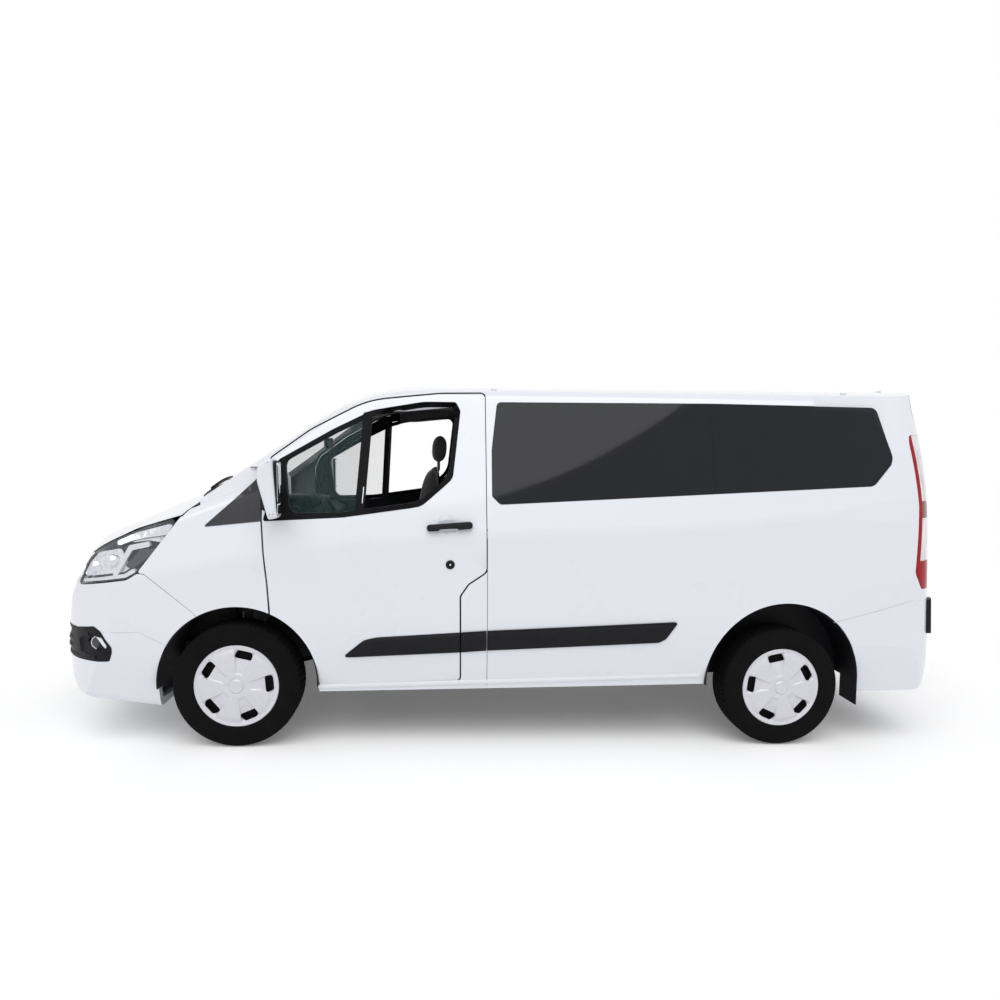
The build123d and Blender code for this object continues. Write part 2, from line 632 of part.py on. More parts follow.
def tailgate():
    gate = largest(SHELL & tailgate_zone())
    recess = rear_prism(inset(REAR_GLASS, -1.5), -2600, -2200) & behind(GLASS_SET + GLASS_T + FIT)
    gate = gate - recess - rear_prism(inset(REAR_GLASS, SEAT_LIP), -2600, -2200)
    x, z = TAIL_HINGE
    for y in (TAIL_HINGE_Y, -TAIL_HINGE_Y):
        for side in (1, -1):
            y0, y1 = sorted((y + side * 17, y + side * 45))
            arm = [(x - 2, z + 8), (x - 44, z - 58), (x - 44, z - 90), (x - 3.5, z - 34)]
            ear = cross_rod(x, z, 8, y0, y1) + side_prism(arm, y0, y1)
            gate = gate + (ear - cross_rod(x, z, PIN_R + RUN, y0, y1))
    return largest(gate)


def tailgate_glass():
    return (rear_prism(REAR_GLASS, -2600, -2200) & behind(GLASS_SET + GLASS_T)) - behind(GLASS_SET)


# ---- front doors ----------------------------------------------------------------------
def door_left():
    skin = side_prism(DOOR, 400, BIG) - flanks(SKIN)
    box = side_prism(inset(DOOR, REBATE), 400, BIG) & flanks(SKIN)
    door = OPENING_SIDE & (skin + box)
    bar = side_prism([(750, 1900), (776, 1900), (836, 1200), (810, 1200)])
    door = door - (side_prism(DOOR_WINDOW, 400, BIG) - bar)
    x, y = HINGE
    for z in HINGE_Z:
        door = door - (block(x - 26, 1400, 800, BIG, z - 34, z + 34) & flanks(4))
    door = largest(door - FRONT_OPENING)
    for z in HINGE_Z:
        for end in (z - 34, z + 16):
            ear = rod((x, y, end), (x, y, end + 18), 9) + block(x - 27, x, y - 7, y + 7, end, end + 18)
            door = door + (ear - rod((x, y, end), (x, y, end + 18), PIN_R + RUN))
    return door


def door_glass():
    zone = side_prism(inset(DOOR_WINDOW, FIT), 400, BIG)
    return glass_layer(zone & side_prism([(777, 1900), (837, 1200), (1400, 1200), (1400, 1900)]))


def door_trim():
    strip = on_skin(side_prism(STRIP, 800, BIG), FIT, 9) & block(301, 900, 800, BIG, 400, 800)
    grip = on_skin(side_prism([(226, 1171, 20), (460, 1171, 20), (460, 1217, 20), (226, 1217, 20)],
                              800, BIG), FIT, 34)
    return solids(strip, grip)


def door_mirror():
    head = block(1176, 1292, 1000, 1134, 1256, 1528)
    head = head.fillet(28, head.edges().filter_by(Axis.Z))
    head = head.fillet(16, head.edges().group_by(Axis.Z)[-1] + head.edges().group_by(Axis.Z)[0])
    foot = block(1236, 1300, 900, 1010, 1310, 1385) - flanks(-FIT)
    return largest(head + foot)


# ---- running gear ---------------------------------------------------------------------
def lowered(shape):
    """From the level body to the ground, nose-low."""
    return shape.rotate(Axis.Y, RAKE)


def raked(x, z):
    """Ground coordinates of a wheel centre, in the level body's own frame."""
    a = math.radians(RAKE)
    return x * math.cos(a) - z * math.sin(a), x * math.sin(a) + z * math.cos(a)


def tyre(x):
    y0, y1 = WHEEL_PLANE - TYRE_W / 2, WHEEL_PLANE + TYRE_W / 2
    shape = [(RIM_R, y0 + 16, 6), (RIM_R + 22, y0 + 3, 30), (268, y0, 60), (TYRE_R - 1, y0 + 14, 26),
             (TYRE_R, WHEEL_PLANE), (TYRE_R - 1, y1 - 14, 26), (268, y1, 60), (RIM_R + 22, y1 - 3, 30),
             (RIM_R, y1 - 16, 6)]
    face = Face(outline(shape, lambda u, v: Vector(u, v, 0)))
    return revolve(face, Axis.Y).moved(Location((x, 0, TYRE_R)))


def slab_line(points, y):
    """An outline across a wheel's face at y: u across the pocket, v out from the hub."""
    return outline(points, lambda u, v: Vector(u, y, v))


def rim(x, phase):
    """Steel wheel with its brake disc and cover; phase turns the cover's five pockets rearwards."""
    y0, face = WHEEL_PLANE - TYRE_W / 2 + 12, WHEEL_PLANE + TYRE_W / 2
    r, hub = RIM_R - RUN, HUB_R + 2
    shape = [(r, y0), (r, face - 1.3), (COVER_R - 2, face - 1.3), (COVER_R, face), (COVER_R - 3, face + 2),
             (206, face + 2), (190, face + 3.5), (60, face + 6.5), (hub, face + 6.5), (hub, face - 8),
             (60, face - 8), (150, face - 11), (r - 14, face - 11), (r - 14, y0)]
    cap = [(0, face + 7.5), (hub + 1, face + 7.5), (hub + 1, face - 8), (0, face - 8)]
    disc = [(HUB_R + RUN, 834), (150, 834), (150, 856), (70, 856), (70, face - 6), (HUB_R + RUN, face - 6)]
    wheel = None
    for line in (shape, cap, disc):
        turned = revolve(Face(outline(line, lambda u, v: Vector(u, v, 0))), Axis.Y)
        wheel = turned if wheel is None else wheel + turned
    pocket = Solid.make_loft([slab_line(POCKET_FLOOR, face - 4.5), slab_line(POCKET_MOUTH, face + 9)])
    slot = Solid.make_loft([slab_line(SLOT, face - 30), slab_line(SLOT, face + 9)])
    for i in range(5):
        wheel = wheel - pocket.rotate(Axis.Y, 72 * i - phase) - slot.rotate(Axis.Y, 72 * i - phase)
    return wheel.moved(Location((x, 0, TYRE_R)))


def knuckle():
    x = HALF_BASE
    upright = block(x - 45, x + 45, 745, 780, KNUCKLE_Z[0], KNUCKLE_Z[1])
    pad = rod((x, KINGPIN_Y, KNUCKLE_Z[1] - 12), (x, KINGPIN_Y, KNUCKLE_Z[1]), 116)
    pad = pad & block(x - 200, x + 200, 600, 792, 0, 600)
    foot = rod((x, KINGPIN_Y, KNUCKLE_Z[0]), (x, KINGPIN_Y, KNUCKLE_Z[0] + 14), 30)
    stub = cross_rod(x, TYRE_R, HUB_R, 770, 930)
    caliper = block(x - 140, x - 30, 762, 794, TYRE_R - 30, TYRE_R + 60)
    return largest(upright + pad + foot + stub + caliper)


def front_subframe():
    beam = lowered(block(1405, 1540, -RAIL_Y[1], RAIL_Y[1], 300, RAIL_Z[0] - FIT))
    x = HALF_BASE
    arm = block(x - 25, x + 25, 450, KINGPIN_Y, KNUCKLE_Z[0] - 30 - FIT, KNUCKLE_Z[0] - FIT)
    arm = arm + rod((x, KINGPIN_Y, KNUCKLE_Z[0] - 30 - FIT), (x, KINGPIN_Y, KNUCKLE_Z[0] - FIT), 22)
    arm = arm + block(x - 25, x + 25, 440, 480, KNUCKLE_Z[0] - 30, 300)
    strut = rod((x, 700, KNUCKLE_Z[1] + FIT), (x, 700, 735), 22)
    strut = strut + rod((x, 700, 680), (x, 700, 735), 48)
    return solids(beam + arm + mirrored(arm), both(strut))


def rear_axle():
    x, z = raked(-HALF_BASE, TYRE_R)
    beam = cross_rod(x, z, 45, -790, 790)
    hub = cross_rod(x, z, HUB_R, -930, 930)
    leaf = side_prism([(-2080, 399.7), (-2080, 372), (x, z + 38), (-870, 372), (-870, 399.7),
                       (-950, 399.7), (x, z + 66), (-2000, 399.7)], 415, 485)
    return lowered(largest(beam + hub + leaf + mirrored(leaf)))


# ---- under and inside -----------------------------------------------------------------
def engine_block():
    lump = block(1620, 2140, -300, 300, 430, 1040)
    foot = block(1800, 1880, 299, RAIL_Y[0] - FIT, 430, 480)
    return lump + foot + mirrored(foot)


def fuel_tank():
    tank = block(-560, 260, 505, 760, 330, FLOOR_Z - FIT)
    return tank.fillet(40, tank.edges().filter_by(Axis.X))


def exhaust():
    path = [(1720, -150, 430 - FIT), (1720, -150, 268), (1100, -150, 268), (500, -150, 330),
            (-300, -200, 330)]
    pipe = FilletPolyline(*[Vector(*p) for p in path], radius=70)
    tube = sweep(Plane(origin=path[0], z_dir=Vector(*path[1]) - Vector(*path[0]))
                 * Circle(27).face(), path=pipe.wire())
    silencer = rod((-300, -200, 330), (-900, -200, 330), 85)
    tail_pipe = rod((-890, -200, 330), (-1250, -200, 330), 27)
    hanger = block(-640, -600, -220, -180, 400, FLOOR_Z - FIT)
    return tube + silencer + tail_pipe + hanger


def dashboard():
    shape = [(FIREWALL_X - FIT, 1225), (1180, 1232, 30), (1085, 1190, 50), (1110, 1010, 60),
             (1260, 830, 60), (FIREWALL_X - FIT, 800)]
    fascia = side_prism(shape, -845, 845) & flanks(WALL + 3)
    hood = rod((1110, WHEEL_Y - 170, 1190), (1110, WHEEL_Y + 170, 1190), 70)
    fascia = fascia + (hood & block(1000, 1400, -BIG, BIG, 1100, 1300))
    post = block(1212 - FIT, 1600, 775, 900, 700, 1300)
    return largest(fascia - column(FIT) - post - mirrored(post))


def column(grow=0.0):
    a = math.radians(WHEEL_LEAN)
    start = Vector(*WHEEL_AT)
    return rod(start, start + Vector(math.cos(a), 0, -math.sin(a)) * 230, 32 + grow)


def steering_wheel():
    a = math.radians(WHEEL_LEAN)
    face = Plane(origin=WHEEL_AT, x_dir=(0, 1, 0), z_dir=(-math.cos(a), 0, math.sin(a)))
    ring = Solid.make_torus(182, 15, face)
    hub = Solid.make_cylinder(62, 40, face.offset(-20))
    wheel = column() + hub
    for turn in (0, 180, 270):
        spoke = Box(130, 34, 14, align=(Align.MIN, Align.CENTER, Align.CENTER))
        spoke = spoke.moved(Location((45, 0, 0))).rotate(Axis.Z, turn)
        wheel = wheel + face.location * spoke
    return wheel + ring


def seat(x, y, width, heads):
    """A seat or bench: plinth, cushion, back and head rests; x is the front of the cushion."""
    floor = FLOOR_Z + FLOOR_T + FIT
    plinth = block(x - 420, x - 60, y - width / 2 + 60, y + width / 2 - 60, floor, 800)
    cushion = block(x - 500, x, y - width / 2, y + width / 2, 800, 920)
    cushion = cushion.fillet(35, cushion.edges().filter_by(Axis.Y))
    back = side_prism([(x - 520, 860, 30), (x - 400, 860, 30), (x - 520, 1480, 40), (x - 610, 1480, 40)],
                      y - width / 2 + 10, y + width / 2 - 10)
    whole = plinth + cushion + back
    for h in heads:
        head = side_prism([(x - 640, 1520, 30), (x - 545, 1520, 30), (x - 555, 1680, 40),
                           (x - 645, 1680, 40)], h - 125, h + 125)
        whole = whole + head
        for off in (-60, 60):
            whole = whole + rod((x - 575, h + off, 1460), (x - 590, h + off, 1540), 8)
    return whole


def front_seats():
    return solids(seat(1000, 430, 520, (430,)), seat(1000, -330, 860, (-540, -130)))


def rear_seats():
    rows = [(-60, (-500, -100, 300), 1240, -100), (-1000, (-400, 0, 400), 1240, 0)]
    return solids([seat(x, mid, width, heads) for x, heads, width, mid in rows])


def wipers():
    out = []
    for y in (-560, 140):
        arm = plan_prism([(1655, y - 9), (1655, y + 9), (1640, y + 520), (1622, y + 520)], 1250, 1600)
        out.append(largest((arm & above(3 - FIT)) - above(-12)))
    return solids(out)


# ---- put together ---------------------------------------------------------------------
def body_pieces():
    left, right, slider = side_panels()
    door, glass, trim, mirror = door_left(), door_glass(), door_trim(), door_mirror()
    return {
        "body_frame": body_frame(), "roof_panel": roof_panel(), "floor_pan": floor_pan(),
        "side_panel_left": left, "side_panel_right": right, "sliding_door": slider,
        "side_glass": side_glass(), "windscreen": windscreen(), "wipers": wipers(),
        "front_wings": front_wings(), "front_bumper": front_bumper(),
        "front_grille": front_grille(), "headlamps": headlamps(),
        "tail_lamps": tail_lamps(), "rear_bumper": rear_bumper(), "rear_step": rear_step(),
        "arch_liners": arch_liners(), "side_trims": side_trims(), "engine_block": engine_block(),
        "fuel_tank": fuel_tank(), "exhaust": exhaust(), "dashboard": dashboard(),
        "steering_wheel": steering_wheel(), "front_seats": front_seats(), "rear_seats": rear_seats(),
        "bonnet": bonnet(), "tailgate": tailgate(), "tailgate_glass": tailgate_glass(),
        "door_left": door, "door_left_glass": glass, "door_left_trim": trim,
        "door_left_mirror": mirror, "door_right": mirrored(door),
        "door_right_glass": mirrored(glass), "door_right_trim": mirrored(trim),
        "door_right_mirror": mirrored(mirror),
    }


def ground_pieces():
    hub = knuckle()
    out = {"front_subframe": front_subframe(), "rear_axle": rear_axle(),
           "knuckle_left": hub, "knuckle_right": mirrored(hub)}
    for end, x in (("front", HALF_BASE), ("rear", -HALF_BASE)):
        rubber, turn = tyre(x), COVER_TURN[end]
        out[f"tyre_{end}_left"] = rubber
        out[f"tyre_{end}_right"] = mirrored(rubber)
        out[f"wheel_{end}_left"] = rim(x, turn)
        out[f"wheel_{end}_right"] = mirrored(rim(x, -turn))
    return out


def upright_holes(shape, places, y, radius, z0, z1):
    """Holes along the ground frame's upright, one at each side of every place."""
    for x, z in places:
        for side in (y, -y):
            shape = shape - rod((x, side, z + z0), (x, side, z + z1), radius)
    return shape


def main():
    pieces = {name: lowered(shape) for name, shape in body_pieces().items()}
    roof = pieces["roof_panel"]
    for x, z in RACK:
        for side in (RACK_Y, -RACK_Y):
            roof = roof + rod((x, side, z - 30), (x, side, z), 16)
    pieces["roof_panel"] = upright_holes(roof, RACK, RACK_Y, RACK_R, -RACK_DEPTH, 5)
    pieces["floor_pan"] = upright_holes(pieces["floor_pan"], TOWBAR, TOWBAR_Y, TOWBAR_R, -10, TOWBAR_DEPTH)
    pieces.update(ground_pieces())
    box = Compound([s for shape in pieces.values() for s in shape.solids()]).bounding_box()
    centre = -(box.min.X + box.max.X) / 2
    print(f"origin shift {centre:.3f}; box {box}")
    os.makedirs("parts", exist_ok=True)
    for name, shape in pieces.items():
        moved = shape.moved(Location((centre, 0, 0)))
        print(f"{name:20s} {moved.is_valid} n={len(moved.solids())}", flush=True)
        export_step(moved, f"parts/{name}.step")


main()
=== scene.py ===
import json
import math

import bmesh
import bpy
import numpy as np
from mathutils import Matrix, Vector
from mathutils.bvhtree import BVHTree


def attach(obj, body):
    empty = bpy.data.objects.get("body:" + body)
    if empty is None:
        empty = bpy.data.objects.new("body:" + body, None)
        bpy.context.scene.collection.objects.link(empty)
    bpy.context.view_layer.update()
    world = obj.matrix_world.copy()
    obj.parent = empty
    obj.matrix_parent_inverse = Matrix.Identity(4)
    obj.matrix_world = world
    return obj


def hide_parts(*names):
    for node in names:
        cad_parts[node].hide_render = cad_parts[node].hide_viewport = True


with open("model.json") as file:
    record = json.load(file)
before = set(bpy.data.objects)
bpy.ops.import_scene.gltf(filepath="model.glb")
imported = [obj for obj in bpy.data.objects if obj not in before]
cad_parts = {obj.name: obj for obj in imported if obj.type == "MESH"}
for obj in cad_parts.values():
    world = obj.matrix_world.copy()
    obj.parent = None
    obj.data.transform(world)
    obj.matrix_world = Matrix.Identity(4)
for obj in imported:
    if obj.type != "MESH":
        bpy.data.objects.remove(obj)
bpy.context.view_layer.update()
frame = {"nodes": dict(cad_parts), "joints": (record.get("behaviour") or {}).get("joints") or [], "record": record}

NODES = frame["nodes"]
JOINTS = {j["name"]: j for j in frame["joints"]}
SIDES = (("left", 1), ("right", -1))
RAKE = math.radians(1.37)          # how far the body stands nose-down
HALF_BASE = 1466.5                 # half the wheelbase, in mm
SHIFT = JOINTS["roll_front_left"]["pos_m"][0] - HALF_BASE / 1000


def P(x, y, z):
    """Level body frame in mm to the ground frame in metres."""
    c, s = math.cos(RAKE), math.sin(RAKE)
    return Vector((x * c + z * s, y, -x * s + z * c)) / 1000 + Vector((SHIFT, 0, 0))


def level(p):
    """Ground frame in metres back to the level body frame in mm."""
    c, s = math.cos(RAKE), math.sin(RAKE)
    x, z = (p.x - SHIFT) * 1000, p.z * 1000
    return x * c - z * s, p.y * 1000, x * s + z * c


# ---- materials ----
def set_inputs(node, **values):
    """Sets a shader node's inputs by name, with _ for each space, and returns the node."""
    for name, value in values.items():
        node.inputs[name.replace("_", " ")].default_value = value
    return node


def add_bump(nt, height, strength, distance):
    bump = set_inputs(nt.nodes.new("ShaderNodeBump"), Strength=strength, Distance=distance)
    nt.links.new(height, bump.inputs["Height"])
    nt.links.new(bump.outputs["Normal"], nt.nodes["Principled BSDF"].inputs["Normal"])


def material(name, colour, rough, vary, metal=0.0, coat=0.0, spots=6.0, bump=0.0, grain=200.0, alpha=1.0,
             ior=1.5, rough_vary=0.06, stretch=(1, 1, 1), sheen=0.0, spec=0.5):
    """A shader whose colour and roughness vary in spots, and whose bump has a finer grain, both per metre."""
    m = bpy.data.materials.new(name)
    m.use_nodes = True
    nt = m.node_tree
    new, link = nt.nodes.new, nt.links.new
    b = set_inputs(nt.nodes["Principled BSDF"], Roughness=rough, Metallic=metal, Coat_Weight=coat,
                   Coat_Roughness=0.04, IOR=ior, Specular_IOR_Level=spec, Alpha=alpha, Sheen_Weight=sheen)
    mp = set_inputs(new("ShaderNodeMapping"), Scale=stretch)
    link(new("ShaderNodeTexCoord").outputs["Object"], mp.inputs["Vector"])
    if vary:
        n = set_inputs(new("ShaderNodeTexNoise"), Scale=spots, Detail=4)
        link(mp.outputs["Vector"], n.inputs["Vector"])
        r = new("ShaderNodeValToRGB")
        for stop, at, tone in zip(r.color_ramp.elements, (0.3, 0.7), (1 - vary, 1 + vary)):
            stop.position = at
            stop.color = (*(min(1, c * tone) for c in colour), 1)
        link(n.outputs["Fac"], r.inputs["Fac"])
        link(r.outputs["Color"], b.inputs["Base Color"])
        if rough_vary:
            q = set_inputs(new("ShaderNodeMapRange"), To_Min=max(0, rough - rough_vary),
                           To_Max=min(1, rough + rough_vary))
            link(n.outputs["Fac"], q.inputs["Value"])
            link(q.outputs["Result"], b.inputs["Roughness"])
    else:
        set_inputs(b, Base_Color=(*colour, 1))
    if bump:
        n = set_inputs(new("ShaderNodeTexNoise"), Scale=grain, Detail=3)
        link(mp.outputs["Vector"], n.inputs["Vector"])
        add_bump(nt, n.outputs["Fac"], bump, 0.001)
    return m


WEAVE = 900.0          # phase of the weave, in radians for each metre


def woven(name, colour):
    """Fabric: two crossed wave textures give the weave its bump."""
    m = material(name, colour, 0.9, 0.12, sheen=0.3, spots=40)
    nt = m.node_tree
    mix = nt.nodes.new("ShaderNodeMath")
    mix.operation = "MULTIPLY"
    for i, axis in enumerate(("X", "Z")):
        w = set_inputs(nt.nodes.new("ShaderNodeTexWave"), Scale=WEAVE / 6.28)
        w.bands_direction = axis
        nt.links.new(nt.nodes["Texture Coordinate"].outputs["Object"], w.inputs["Vector"])
        nt.links.new(w.outputs["Fac"], mix.inputs[i])
    add_bump(nt, mix.outputs[0], 0.5, 0.0006)
    return m


LOOKS = {  # colour, roughness, how far they vary, and what else material() is given
    "paint": ((0.78, 0.796, 0.856), 0.28, 0.008, dict(coat=0.8, spots=2.0, bump=0.03, grain=700,
        rough_vary=0.03)),
    "black_plastic": ((0.008, 0.008, 0.011), 0.45, 0.2, dict(spots=60, bump=0.35, grain=1500, spec=0.16)),
    "gloss_black": ((0.01, 0.01, 0.013), 0.12, 0.1, dict(coat=0.25, spec=0.3)),
    "sail_black": ((0.02, 0.02, 0.026), 0.38, 0.15, dict(spots=60, bump=0.2, grain=1500, spec=0.4)),
    "seal": ((0.006, 0.006, 0.007), 0.6, 0.15, dict(spots=30, bump=0.2, grain=900, spec=0.1)),
    "clear_glass": ((0.03, 0.09, 0.09), 0.02, 0.01, dict(alpha=0.12, ior=1.45, rough_vary=0.01)),
    "privacy_glass": ((0.006, 0.007, 0.012), 0.03, 0.05, dict(alpha=0.88, rough_vary=0.01, spec=0.3)),
    "lens": ((0.42, 0.43, 0.47), 0.02, 0.01, dict(alpha=0.09, ior=1.45, rough_vary=0.01)),
    "red_lens": ((0.34, 0.003, 0.007), 0.16, 0.1, dict(coat=0.08, spots=25, bump=0.25, grain=300,
        spec=0.14)),
    "chrome": ((0.8, 0.82, 0.86), 0.12, 0.05, dict(metal=1.0, spots=80)),
    "lamp_dark": ((0.045, 0.045, 0.058), 0.3, 0.1, dict(spots=50)),
    "lamp_white": ((0.86, 0.87, 0.9), 0.3, 0.03, dict(spots=60)),
    "underbody": ((0.03, 0.03, 0.032), 0.7, 0.25, dict(spots=9, bump=0.4, grain=120, spec=0.2)),
    "cast": ((0.075, 0.072, 0.07), 0.75, 0.3, dict(metal=0.4, spots=18, bump=0.6, grain=220)),
    "steel": ((0.32, 0.31, 0.3), 0.45, 0.25, dict(metal=0.9, spots=14, bump=0.2, grain=90)),
    "trim": ((0.02, 0.021, 0.024), 0.65, 0.15, dict(spots=25, bump=0.4, grain=900, spec=0.16)),
    "trim_grey": ((0.16, 0.16, 0.165), 0.75, 0.08, dict(spots=20, bump=0.3, grain=800, spec=0.3)),
    "tyre": ((0.0045, 0.0045, 0.005), 0.85, 0.25, dict(spots=12, bump=0.3, grain=260, spec=0.09)),
    "wheel_silver": ((0.66, 0.655, 0.705), 0.38, 0.03, dict(metal=0.2, spots=40, bump=0.05, grain=900)),
    "wheel_dark": ((0.004, 0.004, 0.004), 0.7, 0.2, dict(spots=30, spec=0.1)),
    "mirror_glass": ((0.75, 0.78, 0.8), 0.02, 0.01, dict(metal=1.0, rough_vary=0.0)),
    # the two seam looks are painted shade: a dark line for the shade in a panel gap, a grey line for the shade
    # along the bumpers' seams and creases
    "seam_shade": ((0.1, 0.1, 0.12), 0.8, 0.1, dict(spec=0.1)),
    "faint_seam": ((0.55, 0.56, 0.61), 0.6, 0.03, dict()),
    "reflector": ((0.8, 0.81, 0.86), 0.18, 0.1, dict(metal=0.85, spots=60, bump=1.0, grain=90)),
    "tail_clear": ((0.72, 0.7, 0.73), 0.15, 0.22, dict(coat=0.5, spots=28, bump=0.6, grain=260,
        stretch=(1, 1, 0.25))),
    "tail_dark": ((0.13, 0.01, 0.014), 0.15, 0.25, dict(coat=0.4, spots=40, bump=0.4, grain=300)),
}
M = {name: material(name, colour, rough, vary, **more) for name, (colour, rough, vary, more) in LOOKS.items()}
M["headliner"] = woven("headliner", (0.20, 0.20, 0.205))
M["seat_fabric"] = woven("seat_fabric", (0.022, 0.023, 0.027))

for sub in frame["record"]["subparts"]:
    look = sub["material_slot"]
    for s in NODES[sub["node"]].material_slots:
        s.material = M["lens" if look == "lamp_lens" else look]


# ---- mesh helpers ----
def in_scene(name, me):
    o = bpy.data.objects.new(name, me)
    bpy.context.scene.collection.objects.link(o)
    return o


def object_of(name, bm):
    """A new object in the scene with the bmesh's faces; the bmesh is freed."""
    me = bpy.data.meshes.new(name)
    bm.to_mesh(me)
    bm.free()
    return in_scene(name, me)


def dress(o, body, angle):
    """Smooth shading up to an angle in degrees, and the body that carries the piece."""
    for f in o.data.polygons:
        f.use_smooth = True
    o.data.set_sharp_from_angle(angle=math.radians(angle))
    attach(o, body)
    return o


def closed(bm):
    """The bmesh with its seams welded and its faces turned outwards."""
    bmesh.ops.remove_doubles(bm, verts=bm.verts, dist=1e-6)
    bmesh.ops.recalc_face_normals(bm, faces=bm.faces)
    return bm


def piece(name, bm, body, look, smooth=40.0):
    o = object_of(name, closed(bm))
    o.data.materials.append(M[look])
    return dress(o, body, smooth)


def world_mesh(node):
    """A copy of a CAD node's mesh, in world space."""
    me = NODES[node].data.copy()
    me.transform(NODES[node].matrix_world)
    return me


def repaint(o, node, body, rules):
    """Paint, and other looks by face, for a copy that replaces a node: rules of look and test(x, y, z, n)."""
    me = o.data
    me.materials.clear()
    for look in ["paint"] + [r[0] for r in rules]:
        me.materials.append(M[look])
    for f in me.polygons:
        here = (*level(f.center), f.normal)
        f.material_index = next((k for k, (_, test) in enumerate(rules, 1) if test(*here)), 0)
    dress(o, body, 28)
    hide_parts(node)


def cut_away(o, tool):
    """Takes the tool's shape out of an object, and deletes the tool."""
    mod = o.modifiers.new("cut", "BOOLEAN")
    mod.operation, mod.solver, mod.object = "DIFFERENCE", "EXACT", tool
    me = bpy.data.meshes.new_from_object(o.evaluated_get(bpy.context.evaluated_depsgraph_get()))
    o.modifiers.remove(mod)
    o.data = me
    bpy.data.objects.remove(tool)


def tree_of(*names):
    """One tree for ray casts at the named CAD nodes, in world space."""
    bm = bmesh.new()
    for n in names:
        me = world_mesh(n)
        bm.from_mesh(me)
        bpy.data.meshes.remove(me)
    t = BVHTree.FromBMesh(bm)
    bm.free()
    return t


def faces_of(node, keep):
    """The faces of a CAD node, in world space, for which keep(face, x, y, z) holds; x, y, z are level."""
    bm = bmesh.new()
    bm.from_mesh(NODES[node].data)
    bm.transform(NODES[node].matrix_world)
    bm.normal_update()
    drop = [f for f in bm.faces if not keep(f, *level(f.calc_center_median()))]
    bmesh.ops.delete(bm, geom=drop, context="FACES")
    bmesh.ops.remove_doubles(bm, verts=bm.verts, dist=1e-5)
    return bm


def lift(bm, distance):
    """Moves each vertex along its normal."""
    for v in bm.verts:
        v.co += v.normal * distance


def thicken(bm, thickness):
    bmesh.ops.recalc_face_normals(bm, faces=bm.faces)
    bmesh.ops.solidify(bm, geom=bm.faces[:] + bm.edges[:] + bm.verts[:], thickness=thickness)


def join_rings(bm, a, b):
    """Quads between two rings of vertices."""
    for i in range(len(a)):
        j = (i + 1) % len(a)
        bm.faces.new((a[i], a[j], b[j], b[i]))


def join_rows(bm, rows, loop=False):
    """Quads between rings in a row: a loop joins its last ring to its first, others get ends."""
    for a, b in zip(rows, rows[1:] + rows[:1] if loop else rows[1:]):
        join_rings(bm, a, b)
    if not loop:
        bm.faces.new(rows[0])
        bm.faces.new(rows[-1][::-1])


SKIN = tree_of("body_frame", "side_panel_left", "side_panel_right", "sliding_door", "door_left",
               "door_right", "front_wings", "front_bumper", "rear_bumper", "headlamps", "tail_lamps",
               "bonnet", "side_glass", "door_left_glass", "door_right_glass", "roof_panel", "tailgate")
TAIL = tree_of("tailgate", "tailgate_glass", "rear_bumper", "tail_lamps")


def rounded(points, arc_step=8):
    """Closed outline of (x, z, r) corners as a list of points, arcs included."""
    out = []
    n = len(points)
    for i, c in enumerate(points):
        here = Vector(c[:2])
        a = Vector(points[i - 1][:2]) - here
        b = Vector(points[(i + 1) % n][:2]) - here
        r = c[2] if len(c) > 2 else 0
        la, lb = a.length, b.length
        a.normalize()
        b.normalize()
        half = math.acos(max(-1, min(1, a.dot(b)))) / 2
        if r <= 0 or half > math.radians(89):
            out.append(here)
            continue
        d = min(r / math.tan(half), la * 0.49, lb * 0.49)
        r = d * math.tan(half)
        centre = here + (a + b).normalized() * (r / math.sin(half))
        a0, a1 = (math.atan2(p.y - centre.y, p.x - centre.x) for p in (here + a * d, here + b * d))
        da = (a1 - a0 + math.pi) % (2 * math.pi) - math.pi
        steps = max(2, int(abs(da) / math.radians(arc_step)))
        out += [centre + Vector((math.cos(a0 + da * k / steps), math.sin(a0 + da * k / steps))) * r
                for k in range(steps + 1)]
    return out


def dense(points, step, closed=True):
    """The line with more points on it, no more than about step apart."""
    out = []
    n = len(points)
    for i in range(n if closed else n - 1):
        a, b = Vector(points[i]), Vector(points[(i + 1) % n])
        k = max(1, int((b - a).length / step))
        out += [a + (b - a) * j / k for j in range(k)]
    if not closed:
        out.append(Vector(points[-1]))
    return out


def outline(corners, step):
    """Closed outline of (x, z, r) corners as points about step apart."""
    return dense(rounded(corners), step)


def rectangle(u0, u1, v0, v1, r, r_top=None):
    """Corners of a rectangle with radius r, and r_top at v1."""
    r_top = r_top or r
    return [(u0, v0, r), (u1, v0, r), (u1, v1, r_top), (u0, v1, r_top)]


def offset_line(points, d, closed=True):
    """Each point moved sideways by d, to the left of travel."""
    n = len(points)
    out = []
    for i, p in enumerate(points):
        a = points[i - 1] if closed or i else points[i]
        b = points[(i + 1) % n] if closed or i < n - 1 else points[i]
        t = (b - a).normalized()
        out.append(p + Vector((-t.y, t.x)) * d)
    return out


_widths = {}
REACH = 45.0           # how far round a point the side is sampled, in mm
OUTSIDE = 1500         # level y where rays at the side start


def width(x, z):
    """Half width of the side at level x, z in mm."""
    key = (round(x), round(z))
    if key not in _widths:
        _widths[key] = plane_width(x, z)
    return _widths[key]


